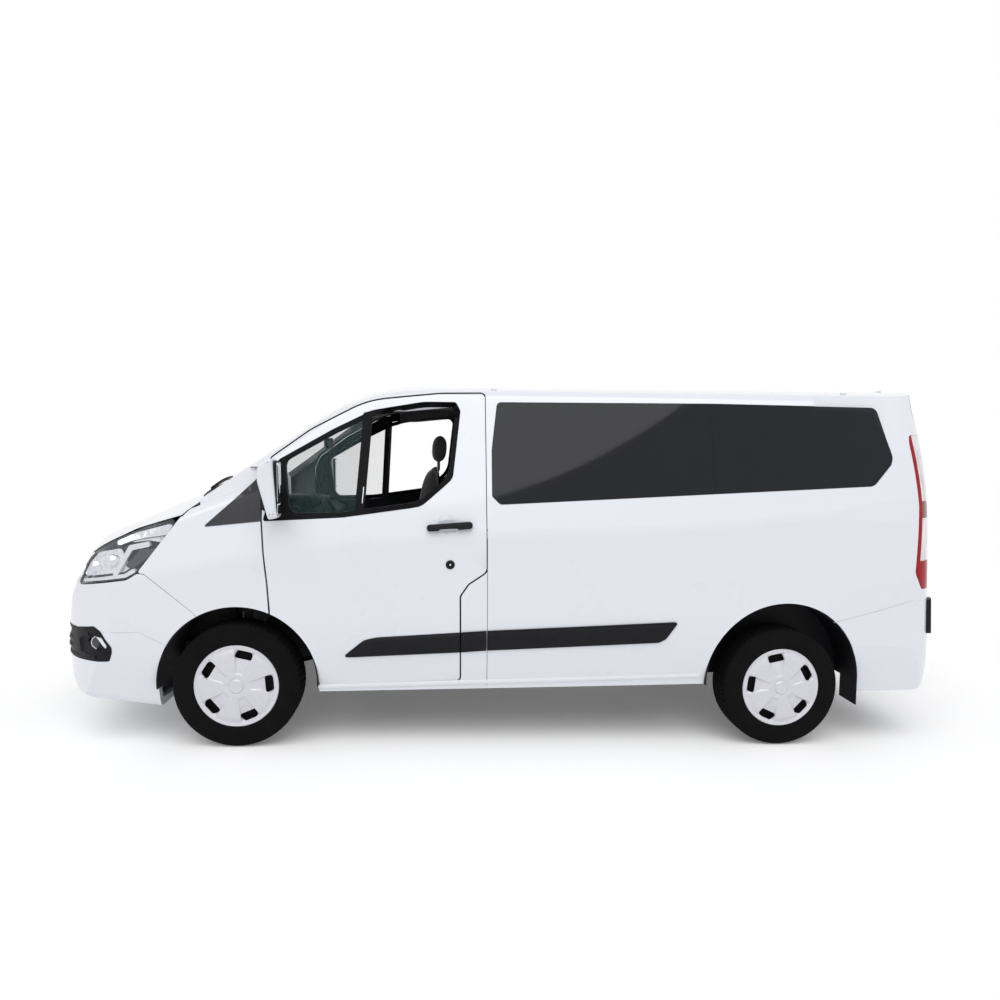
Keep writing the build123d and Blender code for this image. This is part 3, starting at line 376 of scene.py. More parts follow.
def plane_width(x, z):
    """Half width from a plane through nearby hits of the skin, gaps and windows left out."""
    rows = []
    for k in range(13):
        r = 0 if k == 0 else REACH * (0.5 if k < 7 else 1.0)
        a = k * math.pi / 3 + (0.5 if k >= 7 else 0)
        dx, dz = r * math.cos(a), r * math.sin(a)
        hit = SKIN.ray_cast(P(x + dx, OUTSIDE, z + dz), Vector((0, -1, 0)))
        if hit[0] is not None and hit[0].y > 0.5:
            rows.append((1.0, dx, dz, hit[0].y * 1000))
    if len(rows) < 4:
        return rows[0][3] if rows else 900.0
    for _ in range(4):
        table = np.array(rows)
        a, y = table[:, :3], table[:, 3]
        fit = np.linalg.lstsq(a, y, rcond=None)[0]
        keep = [r for r, d in zip(rows, y - a @ fit) if d > -0.8]
        if len(keep) < 4 or len(keep) == len(rows):
            break
        rows = keep
    return float(fit[0])


def side_band(name, line, section, body, look, side, closed=True):
    """A bead swept along a line on the van's side; section is a closed list of (across, out) in mm."""
    bm = bmesh.new()
    rows = []
    lines = {s: offset_line(line, s, closed) for s, _ in section}
    base = [width(p.x, p.y) for p in line]
    k = len(base)
    for i in range(k):
        middle = sorted(base[(i + j) % k if closed else min(k - 1, max(0, i + j))] for j in range(-2, 3))[2]
        row = []
        for across, out in section:
            q = lines[across][i]
            row.append(bm.verts.new(P(q.x, side * (middle + out), q.y)))
        rows.append(row)
    join_rows(bm, rows, loop=closed)
    return piece(name, bm, body, look)


def box_section(a0, a1, o0, o1):
    """Rectangle, across by out, in mm."""
    return [(a0, o0), (a1, o0), (a1, o1), (a0, o1)]


def revolve(profile, centre, steps, axis="Y", side=1):
    """Closed profile of (radius, along) in mm turned about an axis through centre (metres)."""
    bm = bmesh.new()
    rings = []
    for i in range(steps):
        a = 2 * math.pi * i / steps
        ring = []
        for r, h in profile:
            s, c = r * math.sin(a), r * math.cos(a)
            h *= side
            off = {"X": (h, s, c), "Y": (s, h, c), "Z": (s, c, h)}[axis]
            ring.append(bm.verts.new([at + d / 1000 for at, d in zip(centre, off)]))
        rings.append(ring)
    join_rows(bm, rings, loop=True)
    return bm


# ---- tyres ----
# sidewall and shoulder: radius, distance from the tyre's middle
SIDEWALL = [(203.6, 90.5), (207, 94.0), (213, 97.0), (217, 98.5), (219, 100.8), (226, 103.5), (240, 106.2),
            (258, 107.4), (276, 107.0), (290, 105.2), (300, 103.0), (303, 103.4), (306, 103.0), (308, 101.2),
            (314, 98.8), (318.5, 95.8), (322, 91.5)]
# tread: distance from the middle, radius, kind: 0 groove wall, 1 groove floor, 2 shoulder, 3 middle block
TREAD = [(86, 324.8, 2), (79, 326.2, 2), (72, 326.9, 2), (62, 327.2, 2), (60.5, 327.2, 0), (59, 320, 1),
         (52, 320, 1), (50.5, 327.5, 0), (39, 327.8, 3), (26, 327.9, 3), (24.5, 327.9, 0), (23, 320, 1),
         (16, 320, 1), (14.5, 328, 0), (7, 328, 3)]
CUT_DEPTH = {2: 5.5, 3: 3.0}                                 # of the cuts between blocks, by kind
PITCHES = 62                                                 # blocks round the tyre
PHASES = ((0.0, 0), (0.70, 0), (0.75, 1), (0.95, 1))         # where along a pitch, and 1 where it is cut


def round_hub(hub, r, turn, out):
    """A point at radius r and a turn in radians round a wheel's hub, and out along y, in mm."""
    return [at + d / 1000 for at, d in zip(hub, (r * math.sin(turn), out, r * math.cos(turn)))]


def skew(h, kind):
    """How far a block's cut runs ahead at a distance h from the middle, in pitches."""
    if kind == 2:
        return 0.35 * math.copysign(1, h) * (abs(h) - 60) / 30
    return 0.12 * h / 39 if kind == 3 else 0


def tyre(end, side):
    hub = JOINTS[f"roll_{end}_{side}"]["pos_m"]
    half = [(r, h, 0) for r, h in SIDEWALL] + [(r, h, k) for h, r, k in TREAD]
    line = half + [(r, -h, k) for r, h, k in reversed(half)]
    bm = bmesh.new()
    rings = []
    for i in range(PITCHES):
        for part, cut in PHASES:
            ring = []
            for r, h, kind in line:
                a = 2 * math.pi * (i + part + skew(h, kind)) / PITCHES
                ring.append(bm.verts.new(round_hub(hub, r - CUT_DEPTH.get(kind, 0) * cut, a, h)))
            rings.append(ring)
    join_rows(bm, rings, loop=True)
    o = piece(f"tread_{end}_{side}", bm, f"road_wheel_{end}_{side}", "tyre", smooth=30)
    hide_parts(f"tyre_{end}_{side}")


# ---- wheels ----
COVER_R = 230.0
SLOT_AT = 168.0                              # radius of the slots' middles
SLOT = [(-46, -21, 15), (46, -21, 15), (40, 23, 17), (-40, 23, 17)]
PHASE = {"front": 13.0, "rear": -12.0}       # how far the covers are turned, in degrees
FACE_Y = 101.5                               # the cover's face, from the wheel's middle
STEPS = 240
RADII = [0.001, 8, 14, 19, 22, 25, 29, 32, 35, 38, 41, 45, 52, 60, 65, 69, 74, 82, 92, 104, 116, 128, 138,
         146, 154, 162, 170, 178, 186, 192, 197, 202, 206, 210, 213, 216, 219, 221]
WHEEL_PARTS = {  # steel wheel behind the cover: profile of (radius, along), steps and look
    "wheel_barrel": ([(202.8, -94), (202.8, 94), (199, 96), (196, 94), (190, 84), (180, 70), (176, 20),
                      (176, -60), (190, -84), (196, -94)], 120, "wheel_dark"),
    "wheel_disc": ([(178, 62), (178, 68), (120, 78), (70, 72), (34, 72), (34, 66), (70, 64), (120, 70)], 96,
                   "wheel_dark"),
    "brake_disc": ([(34, -33), (150, -33), (150, -11), (72, -11), (72, 60), (34, 60)], 96, "steel"),
}


def ease(a, b, t):
    t = max(0.0, min(1.0, (t - a) / (b - a)))
    return t * t * (3 - 2 * t)


def cover_height(r, turn):
    """Front of the wheel cover in mm: dome, raised hub, five tapered pockets; turn is from a pocket."""
    dome = 9.0 * (1 - (r / COVER_R) ** 2) - 6.0 * math.exp(-((r - 196) / 14) ** 2)
    lip = -9.0 * ease(213, 221, r)
    hub = 3.0 * (1 - ease(31, 36, r)) - 3.5 * math.exp(-((r - 39) / 4) ** 2) - 1.6 * (1 - ease(20, 26, r))
    t = math.radians((turn + 36) % 72 - 36)
    along, across = r * math.cos(t), abs(r * math.sin(t))
    reach = 22 + 26 * ease(70, 190, along)
    inside = (1 - ease(reach - 4, reach + 2, across)) * ease(64, 72, along) * (1 - ease(180, 193, along))
    return dome + lip + hub - inside * (4.5 + 9.5 * ease(80, 165, along))


def wheel(end, side, s):
    body = f"road_wheel_{end}_{side}"
    hub = JOINTS[f"roll_{end}_{side}"]["pos_m"]
    bm = bmesh.new()
    front, back = [], []
    for r in RADII:
        fr, br = [], []
        for i in range(STEPS):
            deg = 360 * i / STEPS
            a, h = -s * math.radians(deg), cover_height(r, deg - PHASE[end])
            fr.append(bm.verts.new(round_hub(hub, r, a, s * (FACE_Y + h))))
            br.append(bm.verts.new(round_hub(hub, r, a, s * (FACE_Y + min(h, 4) - 4.0))))
        front.append(fr)
        back.append(br)
    for rows in (front, back, (front[-1], back[-1])):
        for a, b in zip(rows, rows[1:]):
            join_rings(bm, a, b)
    face = object_of(f"wheel_cover_{end}_{side}", closed(bm))
    face.data.materials.append(M["wheel_silver"])
    cut = bmesh.new()
    for k in range(5):
        a0 = math.radians(PHASE[end] + 72 * k)
        lo, hi = [], []
        for across, up in rounded(SLOT, arc_step=15):
            out = SLOT_AT + up - across * across / (2 * SLOT_AT) * 0.6
            r, a = math.hypot(across, out), -s * (a0 + math.atan2(across, out))
            for ring, far in ((lo, -30), (hi, 30)):
                ring.append(cut.verts.new(round_hub(hub, r, a, s * (FACE_Y + far))))
        join_rows(cut, [lo, hi])
    cut_away(face, object_of("cutter", closed(cut)))
    dress(face, body, 40)
    parts = [face]
    for name, (profile, steps, look) in WHEEL_PARTS.items():
        bm = revolve(profile, hub, steps, side=s)
        parts.append(piece(f"{name}_{end}_{side}", bm, body, look))
    for o in parts:
        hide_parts(f"wheel_{end}_{side}")


for end in ("front", "rear"):
    for side, s in SIDES:
        tyre(end, side)
        wheel(end, side, s)


# ---- outlines on the side, level frame: x, z, corner radius ----
DOOR_WINDOW = [(312, 1848, 45), (288, 1801, 45), (331, 1440, 160), (497, 1296, 200), (905, 1240, 600),
               (1311, 1221, 12), (1239, 1538, 40), (962, 1698, 700), (753, 1802, 450), (486, 1848, 400)]
DAYLIGHT = [(335, 1822, 40), (315, 1797, 40), (356, 1452, 150), (506, 1322, 180), (905, 1267, 600),
            (1160, 1263, 45), (1182, 1300, 40), (1203, 1505, 60), (1196, 1535, 35), (948, 1676, 700),
            (746, 1776, 450), (484, 1822, 380)]
DIVIDER = [(752, 1800), (800, 1786), (842, 1262), (794, 1262)]
SAIL = [(1612, 1193, 5), (1322.5, 1221), (1322.5, 1385), (1470, 1322)]
SAIL_TOP = [(1470, 1322), (1322.5, 1385), (1322.5, 1468, 4)]
HANDLE = [(468, 1172, 15), (468, 1205, 16), (350, 1214, 200), (232, 1222, 18), (227, 1186, 18), (300, 1180),
          (312, 1186), (398, 1182), (410, 1173)]
HANDLE_FEET = [[(300, 1184, 8), (298, 1214, 8), (236, 1218, 12), (236, 1190, 12)],
               [(462, 1175, 10), (462, 1203, 10), (424, 1206, 8), (424, 1176, 8)]]
HANDLE_MIDDLE, HANDLE_HALF, HANDLE_BOW = 347, 121, 6
RECESS = (361, 1199)                # middle of the hollow behind the handle
RECESS_SIZE = (54, 41, 13)          # its half sizes and depth
LOCK = (347, 995.5)
MIRROR = [(1214, 1545, 12), (1252, 1543, 25), (1290, 1498, 30), (1292, 1432, 30), (1272, 1352, 40),
          (1257, 1292, 20), (1243, 1243, 12), (1197, 1252, 14), (1205, 1400, 200)]
MIRROR_Y, MIRROR_ARM_Y = (1006, 1133), (900, 1022)
RIM_X, PANE_X = (1197, 1214), (1194.5, 1199)          # rear rim and panes of the mirror, front to back
GRIP_OUT, FOOT_OUT = (12, 30), (-2, 15)               # off the skin
MIRROR_ARM = [(1303, 1322, 10), (1300, 1378, 14), (1248, 1398, 20), (1222, 1384, 20), (1216, 1312, 15),
              (1250, 1268, 15), (1292, 1282, 12)]


def cover(name, loops, body, look, out, thick, side, step=40.0, base=width):
    """A thin cover over the area between closed lines, from out - thick to out off the side's skin."""
    flat = bmesh.new()
    for loop in loops:
        vs = [flat.verts.new((p[0], 0, p[1])) for p in loop]
        for i in range(len(vs)):
            flat.edges.new((vs[i - 1], vs[i]))
    bmesh.ops.triangle_fill(flat, use_beauty=True, edges=flat.edges[:])
    for _ in range(4):
        long_edges = [e for e in flat.edges if e.calc_length() > step]
        if not long_edges:
            break
        bmesh.ops.subdivide_edges(flat, edges=long_edges, cuts=1)
        bmesh.ops.triangulate(flat, faces=flat.faces[:])
    bm = bmesh.new()
    low, high = {}, {}
    for v in flat.verts:
        w = base(v.co.x, v.co.z)
        low[v] = bm.verts.new(P(v.co.x, side * (w + out - thick), v.co.z))
        high[v] = bm.verts.new(P(v.co.x, side * (w + out), v.co.z))
    for f in flat.faces:
        bm.faces.new([high[v] for v in f.verts])
        bm.faces.new([low[v] for v in reversed(f.verts)])
    for e in flat.edges:
        if len(e.link_faces) == 1:
            a, b = e.verts
            bm.faces.new((high[a], high[b], low[b], low[a]))
    flat.free()
    return piece(name, bm, body, look)


def shrink(line, d):
    """A closed line moved inwards by d, whichever way it runs."""
    area = sum(line[i - 1][0] * line[i][1] - line[i][0] * line[i - 1][1] for i in range(len(line)))
    return offset_line(line, d if area > 0 else -d)


def pillow(name, line, lo, hi, soft, place, body, look, slot=None, steps=4):
    """A slab of the given outline with rounded rims; place(u, v, w) gives a point, w from lo to hi in mm."""
    bm = bmesh.new()
    rows = []
    turns = [k / steps for k in range(steps + 1)]
    for at, up, ts in ((lo, 1, turns), (hi, -1, [1 - t for t in turns])):
        for t in ts:
            ring = shrink(line, soft * (1 - math.sin(math.pi / 2 * t)))
            w = at + up * soft * (1 - math.cos(math.pi / 2 * t))
            rows.append([bm.verts.new(place(p[0], p[1], w)) for p in ring])
    for a, b in zip(rows, rows[1:]):
        join_rings(bm, a, b)
    for row in (rows[0], rows[-1]):
        rim = [bm.edges.get((row[i - 1], row[i])) for i in range(len(row))]
        bmesh.ops.triangle_fill(bm, use_beauty=True, edges=rim)
    return piece(name, bm, body, look)


def across_side(side):
    """Place for pieces outlined in level x and z, whose third size is level y."""
    return lambda u, v, w: P(u, side * w, v)


def off_skin(side):
    """Place for pieces outlined in level x and z, whose third size is the distance off the skin."""
    return lambda u, v, w: P(u, side * (width(u, v) + w), v)


def door_handle(name, end, side, body, dx=0, dz=0):
    """A handle on its two feet, moved from the front door's place; its grip bows out between its ends."""
    def moved(corners):
        return outline([(x + dx, z + dz, *r) for x, z, *r in corners], 12)

    def bowed(u, v, w):
        bow = HANDLE_BOW * (1 - ((u - HANDLE_MIDDLE - dx) / HANDLE_HALF) ** 2)
        return P(u, side * (width(u, v) + w + bow), v)

    pillow(name + end, moved(HANDLE), *GRIP_OUT, 7, bowed, body, "black_plastic")
    for k, foot in enumerate(HANDLE_FEET):
        pillow(f"{name}_foot{end}_{k}", moved(foot), *FOOT_OUT, 2, off_skin(side), body, "black_plastic")


def inside(line, x, z):
    """Whether the point lies inside a closed line."""
    odd = False
    for i, b in enumerate(line):
        a = line[i - 1]
        if (a[1] > z) != (b[1] > z) and x < a[0] + (b[0] - a[0]) * (z - a[1]) / (b[1] - a[1]):
            odd = not odd
    return odd


def carved(node, body, name, x, z, side):
    """A copy of a CAD door with the shallow oval hollow of its handle round level x, z."""
    o = in_scene(name, world_mesh(node))
    bm = bmesh.new()
    bmesh.ops.create_uvsphere(bm, u_segments=64, v_segments=40, radius=1.0)
    rx, rz, deep = RECESS_SIZE
    y = width(x, z) + deep * 0.25
    for v in bm.verts:
        v.co = P(x + rx * 1.04 * v.co.x, side * y + deep * 1.25 * v.co.y, z + rz * 1.04 * v.co.z)
    cut_away(o, object_of("cutter", bm))
    grown = shrink(outline(DOOR_WINDOW, 22), -6)
    repaint(o, node, body, [
        ("seal", lambda x, y, z, n: width(x, z) - abs(y) > 4 and inside(grown, x, z))])


# ---- body frame: cowl, and what is seen through the windows ----
repaint(in_scene("body_frame_shell", world_mesh("body_frame")), "body_frame", "body", [
    ("black_plastic", lambda x, y, z, n: 1500 < x < 1760 and 1230 < z < 1400 and abs(y) < 815 and n.z > 0.2),
    ("trim", lambda x, y, z, n: x < 1000 and z > 1700 and n.z < -0.25),
    ("seal", lambda x, y, z, n: z > 560 and x < 1330 and 22 < width(x, z) - abs(y) < 170 and abs(y) > 620
     and n.z < 0.5 and n.y * y < 0.35 * abs(y))])


# ---- door seals, in the gap between door and body ----
DOOR_SHUT = [(1030, 344), (299, 364, 20), (299, 829, 40), (254, 893, 30), (157, 957, 40), (157, 1895, 25),
             (393, 1891, 400), (779, 1851, 500), (1078, 1693, 400), (1272, 1551, 40), (1315, 1468, 30),
             (1315, 1234, 200), (1284, 900, 200), (1277, 775)]
HALF_GAP = 4.25
for side, s in SIDES:
    run = offset_line(dense(rounded(DOOR_SHUT), 22, closed=False), HALF_GAP, closed=False)
    side_band(f"door_seal_{side}", run, box_section(-3.4, 3.4, -34, -15), "body", "seal", side=s,
              closed=False)


# ---- front doors ----
MIRROR_RIM = rectangle(1018, 1122, 1262, 1534, 22)
MIRROR_PANE = rectangle(1026, 1114, 1330, 1526, 14, 16)
MIRROR_LOW_PANE = rectangle(1026, 1114, 1270, 1322, 14, 10)
LOCK_BARREL = [(0.01, -2), (0.01, 5.5), (4.4, 5.5), (5.2, 4.8), (5.2, -2)]
LOCK_FACE = [(0.01, -4), (0.01, 4.5), (5, 4.5), (6, 2.5), (9, 2.5), (10, 7), (16, 8), (21, 6), (24, 1.5),
             (24, -4)]
for side, s in SIDES:
    body = f"door_{side}"
    outer, inner = outline(DOOR_WINDOW, 22), outline(DAYLIGHT, 22)
    cover(f"window_frame_{side}", [outer, inner], body, "seal", out=1.6, thick=3.4, side=s)
    side_band(f"window_channel_{side}", inner, box_section(-3, 0, -46, 1.4), body, "seal", side=s)
    cover(f"window_bar_{side}", [dense(DIVIDER, 30)], body, "seal", out=2.4, thick=30, side=s)
    for name, line, look in (("sail", SAIL, "sail_black"), ("sail_top", SAIL_TOP, "gloss_black")):
        cover(f"{name}_{side}", [outline(line, 25)], "body", look, out=3.0, thick=3.6, side=s)
    o = pillow(f"mirror_{side}", outline(MIRROR, 15), *MIRROR_Y, 20, across_side(s), body, "paint", steps=6)
    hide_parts(f"door_{side}_mirror")
    rear = lambda u, v, w, s=s: P(w - 0.012 * (v - 1400), s * u, v)
    pillow(f"mirror_rim_{side}", outline(MIRROR_RIM, 15), *RIM_X, 5, rear, body, "black_plastic")
    for name, pane in (("pane", MIRROR_PANE), ("low_pane", MIRROR_LOW_PANE)):
        pillow(f"mirror_{name}_{side}", outline(pane, 15), *PANE_X, 1.0, rear, body, "mirror_glass", steps=2)
    pillow(f"mirror_arm_{side}", outline(MIRROR_ARM, 15), *MIRROR_ARM_Y, 10, across_side(s), body,
           "black_plastic")
    door_handle("door_handle", f"_{side}", s, body)
    x, z = LOCK
    p = P(x, s * width(x, z), z)
    piece(f"door_lock_{side}", revolve(LOCK_FACE, p, 40, side=s), body, "black_plastic")
    piece(f"door_lock_barrel_{side}", revolve(LOCK_BARREL, p, 24, side=s), body, "chrome")
    carved(f"door_{side}", body, f"door_panel_{side}", *RECESS, s)


# ---- insides of the walls ----
LINING_LIFT = 0.0015
CABIN_X, CABIN_Z = (-1900, 1150), 1250          # the middle line of the cabin, where it is seen from


def lining(node, body, look="trim", facing=0.45, keep=lambda x, z: True):
    """A skin over the faces of a CAD wall that look into the cabin."""
    def seen(f, x, y, z):
        middle = P(max(CABIN_X[0], min(CABIN_X[1], x)), 0, CABIN_Z)
        toward = (middle - f.calc_center_median()).normalized()
        return f.normal.dot(toward) >= facing and keep(x, z)

    bm = faces_of(node, seen)
    bm.normal_update()
    lift(bm, LINING_LIFT)
    o = object_of(f"{node}_lining", bm)
    o.data.materials.append(M[look])
    dress(o, body, 30)


lining("roof_panel", "body", "headliner")
for node in ("side_panel_left", "side_panel_right", "sliding_door"):
    lining(node, "body")
for node in ("door_left", "door_right", "tailgate"):
    lining(node, node)
lining("body_frame", "body", "headliner", facing=0.15, keep=lambda x, z: z > 1000 and x < 1500)


# ---- headlamps ----
LAMP_DEPTH = 0.060
TRAY_GAP = 0.0022           # between the lens's face and the tray's rim
LAMP_TREE = tree_of("headlamps")


def lamp_width(x, z):
    """Half width of the headlamp's face at level x and z."""
    hit = LAMP_TREE.ray_cast(P(x, OUTSIDE, z), Vector((0, -1, 0)))
    return hit[0].y * 1000 if hit[0] is not None else width(x, z)


LAMP_PARTS = {  # name: outline, depth of its face below the lens, thickness, look
    "bezel_low": ([(1938, 968, 15), (1990, 938, 40), (2215, 912, 40), (2218, 925, 40), (2000, 955, 40),
                   (1955, 985, 15)], 8, 26, "lamp_white"),
    "bezel_dark": ([(1838, 1078, 8), (1955, 985, 12), (2010, 985, 12), (1925, 1082, 8)], 22, 24, "lamp_dark"),
    "guide": ([(1886, 1118, 8), (1985, 1098, 10), (2062, 945, 8), (2035, 948, 8), (1968, 1074, 14),
               (1878, 1092, 8)], 14, 26, "lamp_white"),
    "upper": ([(1762, 1212, 10), (1960, 1160, 200), (2050, 1118, 30), (2040, 1096, 12), (1950, 1128, 60),
               (1800, 1150, 20)], 18, 26, "chrome"),
    "upper_low": ([(1800, 1146, 10), (1950, 1124, 60), (1985, 1110, 10), (1890, 1122, 8), (1826, 1112, 8)],
                  26, 22, "lamp_white"),
    "reflector": ([(1975, 985, 15), (2030, 1082, 20), (2140, 1062, 30), (2215, 1000, 30), (2222, 938, 20),
                   (2010, 962, 20)], 34, 3, "reflector"),
}
LAMP_BOWLS = {"dip": (2075, 1012, 42), "main": (2165, 985, 38)}        # level x, z and radius

for side, s in SIDES:
    def lens_face(f, x, y, z):
        outward = Vector((x - 350, y, 0)).normalized()
        return y * s >= 0 and f.normal.dot(outward) >= 0.4 and abs(f.normal.z) <= 0.85

    shell = faces_of("headlamps", lens_face)
    tray = shell.copy()
    lift(tray, -LAMP_DEPTH)
    rim = [e for e in tray.edges if len(e.link_faces) == 1]
    grown = bmesh.ops.extrude_edge_only(tray, edges=rim)["geom"]
    for v in (g for g in grown if isinstance(g, bmesh.types.BMVert)):
        near = min(shell.verts, key=lambda q: (q.co - v.co).length)
        v.co = near.co - near.normal * TRAY_GAP
    o = piece(f"headlamp_tray_{side}", tray, "body", "lamp_dark", smooth=30)
    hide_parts("headlamps")
    thicken(shell, 0.003)
    o = piece(f"headlamp_lens_{side}", shell, "body", "lens", smooth=30)
    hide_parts("headlamps")
    for name, (line, deep, thick, look) in LAMP_PARTS.items():
        cover(f"headlamp_{name}_{side}", [outline(line, 20)], "body", look, out=-deep, thick=thick, side=s,
              base=lamp_width)
    for name, (x, z, r) in LAMP_BOWLS.items():
        at = P(x, s * (lamp_width(x + 12, z) - r - 16), z)
        bowl = [(0.01, -46), (r * 0.5, -40), (r * 0.85, -20), (r, 0), (r + 3, 0), (r + 3, -6),
                (r * 0.9, -28), (r * 0.5, -46), (0.01, -50)]
        piece(f"headlamp_{name}_bowl_{side}", revolve(bowl, at, 40, axis="X"), "body", "chrome")
        bulb = [(0.01, -40), (r * 0.42, -38), (r * 0.46, -14), (r * 0.3, -6), (0.01, -4)]
        piece(f"headlamp_{name}_lens_{side}", revolve(bulb, at, 32, axis="X"), "body", "lamp_white")


# ---- fog lamps ----
NOSE = tree_of("front_bumper", "front_grille")
FOG_RIBS = [(660, 672, 5, 25.0), (596, 612, 8, 23.0), (556, 570, 8, 23.0), (514, 526, 5, 25.0)]
RIB_START, RIB_STEPS = 15.0, 24            # ribs: low z, high z, how far out, plan angle of the end
NOSE_CENTRE, NOSE_FAR = 350, 3500          # level x that nose_at() turns round, and how far off it starts


def nose_at(turn, z):
    """The nose's surface and its outward direction, seen at a plan angle in degrees."""
    a = math.radians(turn)
    far = P(NOSE_CENTRE + NOSE_FAR * math.cos(a), NOSE_FAR * math.sin(a), z)
    aim = (P(NOSE_CENTRE, 0, z) - far).normalized()
    return NOSE.ray_cast(far, aim)[0], -aim


def nose_rib(name, z0, z1, out, turn_end, side):
    """A rib round the nose from RIB_START to a plan angle; its ends run into the surface."""
    bm = bmesh.new()
    rows = []
    for i in range(RIB_STEPS + 1):
        t = i / RIB_STEPS
        turn = RIB_START + (turn_end - RIB_START) * t
        (low, low_out), (high, high_out) = nose_at(turn, z0), nose_at(turn, z1)
        grow = out * min(1, 6 * t, 6 * (1 - t)) / 1000
        row = [low - low_out * 0.004, low + low_out * grow, high + high_out * grow * 0.8,
               high - high_out * 0.004]
        rows.append([bm.verts.new((p.x, side * p.y, p.z)) for p in row])
    join_rows(bm, rows)
    return piece(name, bm, "body", "black_plastic")


FOG_BEZEL = [(2262, 674), (2166, 686, 30), (2128, 660, 30), (2076, 574, 25), (2078, 546, 20), (2094, 502, 12),
             (2250, 512)]
FOG_HOLE = [(2196, 640, 12), (2124, 628, 12), (2098, 586, 14), (2108, 566, 12), (2182, 566, 12)]
FOG_LAMP = (2146, 602)
FOG_BOWL = [(0.01, -8), (18, -6), (28, 2), (32, 9), (35, 9), (35, -2), (20, -10), (0.01, -12)]
FOG_LENS = [(0.01, 13), (20, 12), (31, 8), (31, 10), (20, 15), (0.01, 16)]
for side, s in SIDES:
    cover(f"fog_bezel_{side}", [outline(FOG_BEZEL, 20), outline(FOG_HOLE, 15)], "body", "black_plastic",
          out=2.6, thick=10, side=s, step=18)
    x, z = FOG_LAMP
    at = P(x, s * (width(x, z) - 12), z)
    for name, profile, look in (("bowl", FOG_BOWL, "chrome"), ("lens", FOG_LENS, "lens")):
        piece(f"fog_{name}_{side}", revolve(profile, at, 40, side=s), "body", look)
    for k, rib in enumerate(FOG_RIBS):
        nose_rib(f"fog_rib_{side}_{k}", *rib, s)


# ---- tail lamps ----
LAMP_EDGE = [(-2205, 1640), (-2232, 1299), (-2222, 925), (-2274, 832)]   # the lamp's front edge
BAND = 28.0
TAIL_LEVELS = (992.0, 1230.0, 1324.0)


def edge_x(z):
    """Level x of the tail lamp's front edge."""
    for (x1, z1), (x0, z0) in zip(LAMP_EDGE, LAMP_EDGE[1:]):
        if z0 <= z <= z1:
            return x0 + (x1 - x0) * (z - z0) / (z1 - z0)
    return LAMP_EDGE[0][0]


def tail_zone(x, y, z):
    """The look of a tail lamp at a level point."""
    if edge_x(z) - x < BAND or z < TAIL_LEVELS[0]:
        return "red_lens"
    return "tail_dark" if TAIL_LEVELS[1] < z < TAIL_LEVELS[2] else "tail_clear"


def split(bm, at, normal):
    """New edges where a plane cuts the faces."""
    bmesh.ops.bisect_plane(bm, geom=bm.verts[:] + bm.edges[:] + bm.faces[:], plane_co=at, plane_no=normal)


for side, s in SIDES:
    def outer_face(f, x, y, z):
        return y * s >= 0 and f.normal.dot(Vector((x + 1900, y * 0.8, 0)).normalized()) >= 0.35

    shell = faces_of("tail_lamps", outer_face)
    for (x1, z1), (x0, z0) in zip(LAMP_EDGE, LAMP_EDGE[1:]):
        a, b = P(x1 - BAND, 0, z1), P(x0 - BAND, 0, z0)
        split(shell, a, (b - a).cross(Vector((0, 1, 0))).normalized())
    for z in TAIL_LEVELS:
        split(shell, P(0, 0, z), P(0, 0, 1) - P(0, 0, 0))
    for look in ("red_lens", "tail_dark", "tail_clear"):
        part = shell.copy()
        drop = [f for f in part.faces if tail_zone(*level(f.calc_center_median())) != look]
        bmesh.ops.delete(part, geom=drop, context="FACES")
        if look != "red_lens":
            lift(part, -0.0012)
        thicken(part, 0.004)
        o = piece(f"tail_lamp_{look}_{side}", part, "body", look, smooth=30)
        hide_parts("tail_lamps")
    shell.free()


# ---- rub strips ----
STRIP = [(915, 505, 8), (800, 598, 60), (735, 612, 200), (292, 633), (157, 640), (-866, 673, 6), (-872, 664),
         (-813, 580, 30), (-774, 561), (154, 533), (292, 525)]
STRIP_LINE = rounded(STRIP)


def strip_span(x):
    """Lowest and highest z of the strip at level x."""
    zs = []
    for a, b in zip(STRIP_LINE, STRIP_LINE[1:] + STRIP_LINE[:1]):
        if (a.x - x) * (b.x - x) <= 0 and a.x != b.x:
            zs.append(a.y + (b.y - a.y) * (x - a.x) / (b.x - a.x))
    return (min(zs), max(zs)) if len(zs) > 1 else None


def strip(name, x0, x1, body, side):
    """A length of the strip: its upper edge is bevelled and its ends are closed."""
    bm = bmesh.new()
    rows = []
    n = max(8, int(abs(x1 - x0) / 16))
    for i in range(n + 1):
        x = x0 + (x1 - x0) * i / n
        span = strip_span(x)
        if span is None:
            continue
        lo, hi = span[0] - 0.8, span[1] + 0.8
        k = min(1.0, (hi - lo) / 60)
        ring = [(lo, -1), (lo, 7), (lo + 5 * k, 11.5), (hi - 24 * k, 12.5), (hi - 21 * k, 12.0),
                (hi - 4 * k, 5.5), (hi, 3.0), (hi, -1)]
        rows.append([bm.verts.new(P(x, side * (width(x, z) + o * (0.5 + 0.5 * k)), z)) for z, o in ring])
    join_rows(bm, rows)
    return piece(name, bm, body, "black_plastic", smooth=20)
